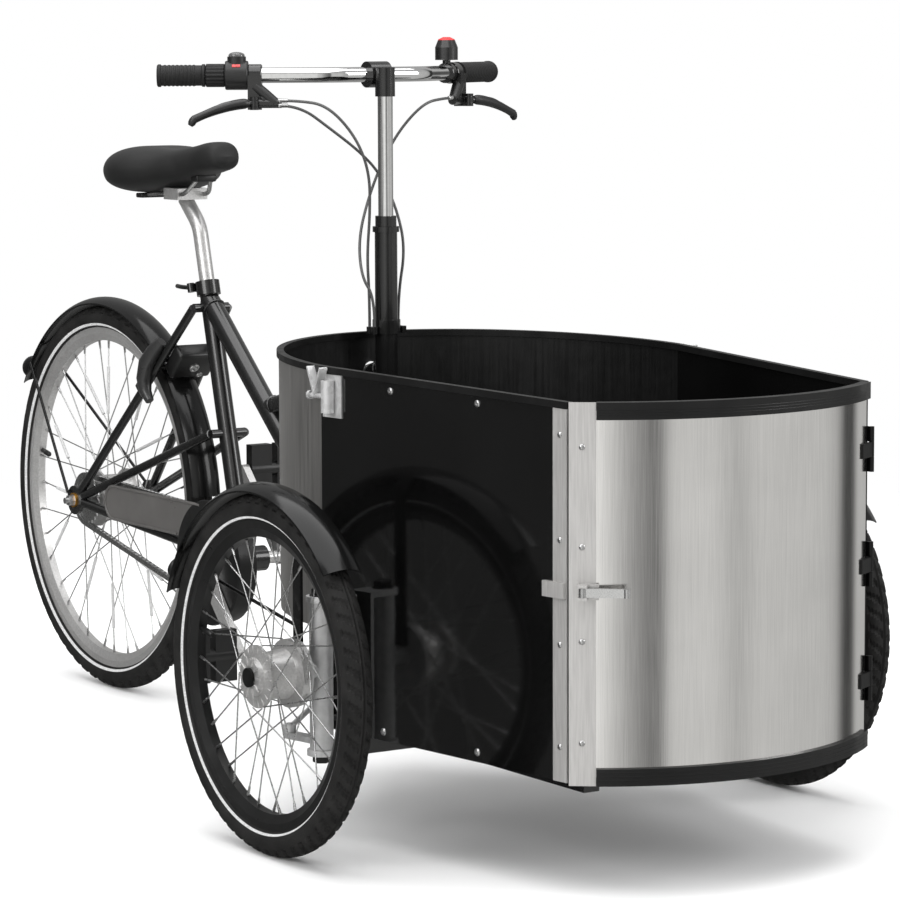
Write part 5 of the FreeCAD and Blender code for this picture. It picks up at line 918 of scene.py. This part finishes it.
def panel_screws():
    """Screws in the side panels, and rivets in the corner strips and the door's trim."""
    for side, sign in SIDES.items():
        inward = -LEFT * sign
        piece = Piece()
        for ahead, height in PANEL_SCREWS:
            outside = Vector((ahead, sign * WELL_OUTSIDE, height))
            head(piece, PAN_HEAD, *touch(f"side_panel_{side}", outside, inward), SCREW_SIZE)
        for height in STRIP_RIVET_HEIGHTS:
            outside = Vector((STRIP_AHEAD, sign * WELL_OUTSIDE, height))
            head(piece, DOME_HEAD, *touch("corner_strips", outside, inward), RIVET_SIZE)
        piece.done(f"panel_screws_{side}", "steel", "frame")
    piece = Piece()
    out = level_way(RIVET_FROM_CORNER / DOOR_RADIUS - DOOR_HALF_ANGLE)
    for height in DOOR_RIVET_HEIGHTS:
        outside = DOOR_CENTRE + out * WELL_OUTSIDE + UP * height
        head(piece, DOME_HEAD, *touch("door_trim", outside, -out), RIVET_SIZE)
    piece.done("door_rivets", "steel", "door")


RIDGE_OUT = 0.0065
RIDGE_RADIUS = 0.0009
RIDGE_START, RIDGE_END = 0.0380, 0.0090
RIDGE_STEPS = 48
RIDGES_BELOW_TOP = (0.009, 0.0125, 0.016)
RIDGES_ABOVE_FOOT = (0.006, 0.011, 0.016)


def door_ridges():
    """Fine ridges along the outside of the door's two profiles."""
    low, high = boxes["door_profiles"]
    heights = [high.z - drop for drop in RIDGES_BELOW_TOP]
    heights += [low.z + rise for rise in RIDGES_ABOVE_FOOT]
    first = RIDGE_START / DOOR_RADIUS - DOOR_HALF_ANGLE
    last = DOOR_HALF_ANGLE - RIDGE_END / DOOR_RADIUS
    turns = [first + (last - first) * step / RIDGE_STEPS for step in range(RIDGE_STEPS + 1)]
    piece = Piece()
    for height in heights:
        line = [DOOR_CENTRE + level_way(turn) * (DOOR_RADIUS + RIDGE_OUT) + UP * height for turn in turns]
        piece.tube(line, RIDGE_RADIUS, 6)
    piece.done("door_ridges", "black_profile", "door")


PANEL_END = Vector((0.9523, 0.2350, 0.0))
PANEL_SLOPE = 0.1236
SEAL_LENGTH = 0.0200
SEAL_AHEAD = 0.0033
SEAL_THICKNESS = 0.0030
SEAL_TOP_GAP = 0.0120
SEAL_EDGE = 0.0006


def door_seals():
    """Rubber strips on the side panels' inner faces that close the slits beside the door."""
    low, high = boxes["door_skin"]
    height = high.z - low.z - SEAL_TOP_GAP
    piece = Piece()
    for sign in SIDES.values():
        along = Vector((1.0, -sign * PANEL_SLOPE, 0.0)).normalized()
        inward = Vector((-PANEL_SLOPE, -sign, 0.0)).normalized()
        end = Vector((PANEL_END.x, sign * PANEL_END.y, low.z + height / 2)) + along * SEAL_AHEAD
        centre = end - along * (SEAL_LENGTH / 2) + inward * (SEAL_THICKNESS / 2)
        piece.slab(centre, along, UP, (SEAL_LENGTH, height, SEAL_THICKNESS), SEAL_EDGE)
    piece.done("door_seals", "grip_rubber", "frame")


KINGPIN_SPREAD = 0.345
KINGPIN_TOP = 0.343
KINGPIN_FOOT = 0.127
WASHER = [(0.0150, -0.0004), (0.0150, 0.0016), (0.0120, 0.0020)]
NUT = [(0.0120, 0.0014), (0.0125, 0.0026), (0.0125, 0.0092), (0.0105, 0.0104)]


def kingpin_nuts():
    """Black hexagon nuts with washers above and below the king pin brackets."""
    piece = Piece()
    axle = middle("front_tyre_left").x
    for sign in SIDES.values():
        for height, way in ((KINGPIN_TOP, UP), (KINGPIN_FOOT, -UP)):
            place = Vector((axle, sign * KINGPIN_SPREAD, height))
            piece.turned(WASHER, place, way, 28)
            piece.turned(NUT, place, way, 6)
    piece.done("kingpin_nuts", "black_plastic", "frame", sharp=25.0)


# Wheels: nipples, valves, reflectors on the spokes and hub ribs
MERGE_REACH = 0.00001
SPOKE_END_SHARE = 8
SPOKE_END_LEAST = 3


def spoke_lines(node, hub):
    """Inner and outer end of every spoke of a wheel, each the mean of the points nearest to that end."""
    mesh = bmesh.new()
    mesh.from_mesh(nodes[node].data)
    bmesh.ops.remove_doubles(mesh, verts=mesh.verts, dist=MERGE_REACH)
    seen = set()
    lines = []
    for first in mesh.verts:
        if first in seen:
            continue
        seen.add(first)
        waiting = [first]
        island = []
        while waiting:
            vert = waiting.pop()
            island.append(vert.co.copy())
            for edge in vert.link_edges:
                other = edge.other_vert(vert)
                if other not in seen:
                    seen.add(other)
                    waiting.append(other)
        island.sort(key=lambda point: math.hypot(point.x - hub.x, point.z - hub.z))
        count = max(len(island) // SPOKE_END_SHARE, SPOKE_END_LEAST)
        lines.append((sum(island[:count], Vector()) / count, sum(island[-count:], Vector()) / count))
    mesh.free()
    return lines


NIPPLE = [(0.013, 0.0016), (0.004, 0.0021), (0.0, 0.0021)]
VALVE = [(0.0040, -0.002), (0.0040, 0.010), (0.0046, 0.011), (0.0046, 0.024), (0.0030, 0.027)]
VALVE_TURN = math.radians(168)
CLIP_EVERY = 3
CLIP_FROM, CLIP_TO = 0.50, 0.82
CLIP_RADIUS = 0.0027


def wheel_details(end, side, body, reflectors=False):
    """Nipples and a valve on a wheel at an end and a side, and reflector clips where it has them."""
    hub = middle(f"{end}_tyre{side}")
    lines = spoke_lines(f"{end}_spokes{side}", hub)
    nipples = Piece()
    for inner, outer in lines:
        heading = (outer - inner).normalized()
        points = [outer - heading * before for before, _ in NIPPLE]
        nipples.tube(points, [radius for _, radius in NIPPLE], 8)
    nipples.done(f"nipples{side}_{end}", "steel", body)
    rim_inner = max(math.hypot(outer.x - hub.x, outer.z - hub.z) for _, outer in lines)
    spoke = upright_way(VALVE_TURN)
    place = hub + spoke * rim_inner
    turned_piece(f"valve{side}_{end}", VALVE, place, -spoke, "black_plastic", body, 14)
    if reflectors:
        clips = Piece()
        for inner, outer in lines[::CLIP_EVERY]:
            clips.tube([inner.lerp(outer, CLIP_FROM), inner.lerp(outer, CLIP_TO)], CLIP_RADIUS, 10)
        clips.done("spoke_reflectors", "spoke_reflector", body)


# Rings of ribs on a front hub: how many, their distance from the axle and outwards, and their size
HUB_RIBS = (
    (10, 0.0220, 0.0306, (0.0130, 0.0034, 0.0022)),
    (18, 0.0360, 0.0216, (0.0100, 0.0024, 0.0016)),
)
HUB_RIB_EDGE = 0.0005


def hub_ribs(side):
    """Cast ribs on the outer face and flange of a front hub."""
    hub = middle(f"front_tyre_{side}")
    out = LEFT * SIDES[side]
    piece = Piece()
    for count, radius, along, size in HUB_RIBS:
        for rib in range(count):
            spoke = upright_way(math.tau * rib / count)
            place = hub + spoke * radius + out * along
            piece.slab(place, spoke, spoke.cross(out), size, HUB_RIB_EDGE)
    piece.done(f"hub_ribs_{side}", "bare_aluminium", f"wheel_front_{side}")


# Saddle brackets: share of the saddle's length from its tail, height above its foot, size and edge
SADDLE_BRACKETS = (
    (0.18, -0.0042, (0.020, 0.086, 0.0075), 0.002),
    (0.70, 0.0270, (0.022, 0.036, 0.012), 0.003),
)


def saddle_fittings():
    """Black clip across the rails under the tail and a bracket under the nose."""
    low, high = boxes["saddle"]
    piece = Piece()
    for share, height, size, edge in SADDLE_BRACKETS:
        place = (low.x + (high.x - low.x) * share, 0.0, low.z + height)
        piece.slab(place, AHEAD, LEFT, size, edge)
    piece.done("saddle_brackets", "black_plastic", "seat")


# Rear reflector and lamps: a probe is the distance outside from which the mudguard's skin is sought
REFLECTOR_PLACE = Vector((-1.008, 0.0, 0.512))
REFLECTOR_BACK = Vector((-0.84, 0.0, 0.54)).normalized()
REFLECTOR_FACING = Vector((-1.0, 0.0, 0.12)).normalized()
REFLECTOR_FOOT = (0.016, 0.018, 0.016)
REFLECTOR_FOOT_OUT, REFLECTOR_SEAT_OUT = 0.006, 0.012
REFLECTOR_EDGE = 0.003
REFLECTOR_SHELL = [(0.012, 0.0), (0.0185, 0.002), (0.0190, 0.006), (0.0175, 0.009)]
REFLECTOR_LENS = [(0.0165, 0.0085), (0.0165, 0.0100), (0.0140, 0.0113), (0.0060, 0.0118)]
REFLECTOR_PROBE = 0.1


def rear_reflector():
    """Red reflector in a black holder on the rear mudguard."""
    outside = REFLECTOR_PLACE + REFLECTOR_BACK * REFLECTOR_PROBE
    place, _ = touch("rear_mudguard", outside, -REFLECTOR_BACK)
    foot = place + REFLECTOR_BACK * REFLECTOR_FOOT_OUT
    seat = place + REFLECTOR_BACK * REFLECTOR_SEAT_OUT
    holder = Piece()
    holder.slab(foot, REFLECTOR_BACK, LEFT, REFLECTOR_FOOT, REFLECTOR_EDGE)
    holder.turned(REFLECTOR_SHELL, seat, REFLECTOR_FACING, 32)
    holder.done("reflector_holder", "black_plastic", "frame")
    turned_piece("reflector_lens", REFLECTOR_LENS, seat, REFLECTOR_FACING, "indicator_red", "frame")


LAMP_TURN = math.radians(155)
LAMP_PROBE = 0.4
LAMP_SHELL = [(0.010, -0.001), (0.0125, 0.004), (0.0165, 0.008), (0.0175, 0.015), (0.0150, 0.018)]
LAMP_LENS = [(0.0140, 0.0170), (0.0140, 0.0190), (0.0105, 0.0208), (0.0040, 0.0214)]


def guard_lamp(side):
    """Small round lamp in a black shell on the rear end of a front mudguard."""
    body = f"steer_{side}"
    spoke = upright_way(LAMP_TURN)
    outside = middle(f"front_tyre_{side}") + spoke * LAMP_PROBE
    place, _ = touch(f"front_mudguard_{side}", outside, -spoke)
    turned_piece(f"guard_lamp_{side}", LAMP_SHELL, place, spoke, "black_plastic", body)
    turned_piece(f"guard_lens_{side}", LAMP_LENS, place, spoke, "indicator_red", body)


# Front end of the chain cover
BRACKET_CENTRE = Vector((-0.2848, 0.0, 0.2670))
COVER_FACE = 0.0685
COVER_RADIUS = 0.0985
COVER_HOLE = 0.0200
COVER_ROLL = 0.0040
COVER_WALL = 0.0018
COVER_DEPTH = 0.0360
COVER_SKIRT = (math.radians(-100), math.radians(88))
COVER_STEPS = 60
COVER_HEIGHT = 0.0580
COVER_EDGE = 0.0022
COVER_END_STEPS = 12
FACE_FRONT, FACE_BACK = 0.0011, -0.0005
LIP_FRONT, LIP_WIDTH = 0.0006, 0.0010
SHOULDER_IN, SHOULDER_BACK = 0.0012, -0.0002
SKIRT_OVERLAP = 0.0005


def cover_front():
    """Black dished front of the chain cover: a round face, and a skirt round its forward half."""
    right = -LEFT
    face = BRACKET_CENTRE + right * COVER_FACE
    inner = COVER_RADIUS - COVER_ROLL
    profile = [
        (COVER_HOLE, FACE_BACK),
        (COVER_HOLE, LIP_FRONT),
        (COVER_HOLE + LIP_WIDTH, FACE_FRONT),
        (inner, FACE_FRONT),
        (COVER_RADIUS - SHOULDER_IN, SHOULDER_BACK),
        (COVER_RADIUS, -COVER_ROLL),
        (COVER_RADIUS - COVER_WALL, -COVER_ROLL),
        (inner, FACE_BACK),
    ]
    section = [
        (COVER_RADIUS, SKIRT_OVERLAP - COVER_ROLL),
        (inner, -COVER_DEPTH),
        (inner - COVER_WALL, -COVER_DEPTH),
        (COVER_RADIUS - COVER_WALL, SKIRT_OVERLAP - COVER_ROLL),
    ]
    first, last = COVER_SKIRT
    rings = []
    for step in range(COVER_STEPS + 1):
        spoke = upright_way(first + (last - first) * step / COVER_STEPS)
        rings.append([face + spoke * radius + right * along for radius, along in section])
    piece = Piece()
    piece.turned(profile, face, right, 72, loop=True)
    piece.skin(rings)
    piece.done("chain_cover_front", "black_profile", "frame")


def cover_edges():
    """Rolled edges along the top and the foot of the chain cover's long plate."""
    low, high = boxes["chain_cover"]
    foot = high.z - COVER_HEIGHT
    round_end = COVER_HEIGHT / 2
    centre = Vector((low.x + round_end, -COVER_FACE, foot + round_end))
    line = [Vector((BRACKET_CENTRE.x - COVER_HOLE, -COVER_FACE, high.z - COVER_EDGE))]
    for step in range(COVER_END_STEPS + 1):
        turn = math.pi / 2 + math.pi * step / COVER_END_STEPS
        line.append(centre + upright_way(turn) * (round_end - COVER_EDGE))
    line.append(Vector((BRACKET_CENTRE.x - COVER_RADIUS + COVER_ROLL, -COVER_FACE, foot + COVER_EDGE)))
    piece = Piece()
    piece.tube(line, COVER_EDGE, 10)
    piece.done("chain_cover_edges", "grey_cover", "frame")


# Frame lock: a casing before the seat stays and a leg beside the near one, placed by the distance
# from the rear axle along the stays, the distance before them and the distance to the left
REAR_CENTRE = Vector((-0.7278, 0.0, 0.3195))
STAY_HEADING = Vector((0.7045, 0.0, 0.7097))
LOCK_CASING = (0.0550, 0.0720, 0.0280)
LOCK_CASING_AT = (0.3725, 0.0226, 0.0)
LOCK_LEG = (
    (0.385, -0.010, -0.046, 0.0080),
    (0.362, -0.010, -0.053, 0.0125),
    (0.335, -0.008, -0.056, 0.0135),
    (0.312, 0.004, -0.057, 0.0125),
    (0.300, 0.022, -0.057, 0.0100),
    (0.299, 0.040, -0.056, 0.0070),
)
LOCK_CYLINDER = [(0.0085, -0.001), (0.0085, 0.0025), (0.0075, 0.0035), (0.0060, 0.0035), (0.0056, 0.0015)]
LOCK_KEY_AT = ((0.0, -0.002, 1.0), (-0.018, 0.014, 0.62))
LOCK_EDGE = 0.006


def frame_lock_casing():
    """Casing, leg and key cylinders of the frame lock."""
    before = LEFT.cross(STAY_HEADING)

    def spot(along, ahead, across):
        return REAR_CENTRE + STAY_HEADING * along + before * ahead + LEFT * across

    centre = spot(*LOCK_CASING_AT)
    casing = Piece()
    casing.slab(centre, STAY_HEADING, LEFT, LOCK_CASING, LOCK_EDGE)
    casing.done("lock_casing", "black_plastic", "frame")
    leg = Piece()
    leg.tube([spot(*point[:3]) for point in LOCK_LEG], [point[3] for point in LOCK_LEG], 20)
    leg.done("lock_leg", "lock_grey", "frame")
    keys = Piece()
    for along, across, scale in LOCK_KEY_AT:
        place = centre + before * (LOCK_CASING[2] / 2) + STAY_HEADING * along + LEFT * across
        keys.turned([(radius * scale, rise * scale) for radius, rise in LOCK_CYLINDER], place, before)
    keys.done("lock_cylinder", "steel", "frame")


# Weld beads of the frame: the tube's ends, the bead's distance from the first end, and its ring's radius
MAIN_HEAD, MAIN_FOOT = Vector((-0.3887, 0.0, 0.6688)), Vector((0.1403, 0.0, 0.2120))
BRANCH_ROOT, BRANCH_END = Vector((-0.2088, 0.0, 0.5134)), Vector((0.1403, 0.0, 0.6020))
SEAT_TOP = Vector((-0.3947, 0.0, 0.6920))
WELDS = (
    (MAIN_HEAD, MAIN_FOOT, 0.0180, 0.0162),
    (MAIN_FOOT, MAIN_HEAD, 0.0270, 0.0162),
    (BRANCH_ROOT, BRANCH_END, 0.0230, 0.0132),
    (BRANCH_END, BRANCH_ROOT, 0.0175, 0.0132),
    (BRACKET_CENTRE, SEAT_TOP, 0.0200, 0.0147),
)
WELD_RADIUS = 0.0022
WELD_STEPS = 72
WELD_RIPPLES = 23
WELD_RIPPLE_HEIGHT = 0.02


def weld_beads():
    """Rippled beads round the frame tubes' ends."""
    piece = Piece()
    for start, end, offset, radius in WELDS:
        axis = (end - start).normalized()
        other = axis.cross(LEFT)
        centre = start + axis * offset
        ring = []
        for step in range(WELD_STEPS):
            turn = math.tau * step / WELD_STEPS
            reach = radius * (1 + WELD_RIPPLE_HEIGHT * math.sin(turn * WELD_RIPPLES))
            ring.append(centre + (LEFT * math.cos(turn) + other * math.sin(turn)) * reach)
        piece.tube(ring, WELD_RADIUS, 8, loop=True)
    piece.done("weld_beads", "black_paint", "frame")


# Floor, light and surroundings
FLOOR_REACH = 6.0
FLOOR_FADE = (1.9, 3.6)


def studio():
    """A pale paper floor that fades into the white surroundings."""
    finish = Finish("floor_paper", Specular_IOR_Level=0.2)
    finish.surface(finish.tones(finish.noise(1.5), 0.88, 0.91), finish.noise(60.0, 3.0), (0.75, 0.9))
    ahead, across, _ = finish.offset_from((0.0, 0.0, 0.0))
    reach = finish.distance(ahead, across)
    finish.feed(finish.shader.inputs["Alpha"], finish.spread(reach, 1.0, 0.0, *FLOOR_FADE))
    data = bpy.data.meshes.new("floor")
    corners = [(-1, -1), (1, -1), (1, 1), (-1, 1)]
    data.from_pydata([(x * FLOOR_REACH, y * FLOOR_REACH, 0) for x, y in corners], [], [(0, 1, 2, 3)])
    data.materials.append(finish.material)
    floor = bpy.data.objects.new("floor", data)
    bpy.context.scene.collection.objects.link(floor)
    floor.visible_glossy = False


# Reflected studio walls: (degrees from ahead towards the left, brightness)
WALL_TONES = [
    (-180, 0.16), (-162, 0.13), (-128, 0.10), (-100, 0.24), (-62, 0.80), (-46, 1.15),
    (-36, 0.95), (-22, 0.42), (-11, 0.16), (-8, 0.16), (-5, 0.68), (14, 0.66),
    (25, 0.48), (36, 0.62), (74, 0.57), (84, 0.46), (90, 0.04), (99, 0.04),
    (104, 0.55), (140, 0.34), (180, 0.16),
]
WHITE = (1.0, 1.0, 1.0, 1.0)
CEILING = (0.5, 0.5, 0.5, 1.0)
CEILING_RISE = (0.25, 0.7)
WALL_WARMTH = 0.98
FILL_STRENGTH = 0.9


def surroundings():
    """White for the camera, soft fill for the surfaces, and walls of several tones in reflections."""
    world = bpy.data.worlds.new("studio")
    bpy.context.scene.world = world
    world.use_nodes = True
    world.node_tree.nodes.clear()
    sky = NodeTree(world.node_tree)
    generated = sky.add("ShaderNodeTexCoord").outputs["Generated"]
    ahead, across, height = sky.add("ShaderNodeSeparateXYZ", Vector=generated).outputs
    bearing = sky.math("ARCTAN2", across, ahead)
    stops = [((degrees + 180) / 360, (tone, tone, tone * WALL_WARMTH)) for degrees, tone in WALL_TONES]
    walls = sky.tint(sky.spread(bearing, 0.0, 1.0, -math.pi, math.pi), *stops)
    overhead = sky.spread(height, 0.0, 1.0, *CEILING_RISE)
    reflected = sky.add("ShaderNodeBackground", Color=sky.mix(overhead, walls, CEILING)).outputs[0]
    fill = sky.add("ShaderNodeBackground", Color=WHITE, Strength=FILL_STRENGTH).outputs[0]
    paper = sky.add("ShaderNodeBackground", Color=WHITE).outputs[0]
    rays = sky.add("ShaderNodeLightPath").outputs

    def either(share, first, second):
        node = sky.add("ShaderNodeMixShader")
        for socket, value in zip(node.inputs, (share, first, second)):
            sky.feed(socket, value)
        return node.outputs[0]

    lit = either(rays["Is Glossy Ray"], fill, reflected)
    sky.add("ShaderNodeOutputWorld", Surface=either(rays["Is Camera Ray"], lit, paper))


def soft_light(name, place, target, size, power):
    """A rectangular lamp at a place, aimed at a target."""
    data = bpy.data.lights.new(name, "AREA")
    data.shape = "RECTANGLE"
    data.size, data.size_y = size
    data.energy = power
    lamp = bpy.data.objects.new(name, data)
    aim = (Vector(target) - Vector(place)).to_track_quat("-Z", "Y").to_matrix().to_4x4()
    lamp.matrix_world = Matrix.Translation(Vector(place)) @ aim
    bpy.context.scene.collection.objects.link(lamp)


set_camera()
studio()
surroundings()
soft_light("overhead", (0.3, -0.4, 3.6), (0.0, 0.0, 0.4), (4.0, 4.0), 130.0)
soft_light("front_left", (3.2, 2.6, 2.2), (0.2, 0.0, 0.5), (1.6, 2.2), 60.0)
soft_light("near_side", (1.2, -4.2, 2.4), (-0.1, -0.2, 0.4), (2.6, 1.8), 70.0)
bpy.context.scene.view_settings.view_transform = "Standard"

control_cables()
for side in SIDES:
    tyre(f"front_tyre_{side}", f"wheel_front_{side}", STRIPE_INSET["front"])
tyre("rear_tyre", "wheel_rear", STRIPE_INSET["rear"])
saddle()
for side in SIDES:
    grip(side)
    brake_lever(side)
    hub_ribs(side)
    guard_lamp(side)
    wheel_details("front", f"_{side}", f"wheel_front_{side}")
wheel_details("rear", "", "wheel_rear", reflectors=True)
twist_shifter()
cable_ferrules()
panel_screws()
door_ridges()
door_seals()
kingpin_nuts()
saddle_fittings()
rear_reflector()
cover_front()
cover_edges()
frame_lock_casing()
weld_beads()
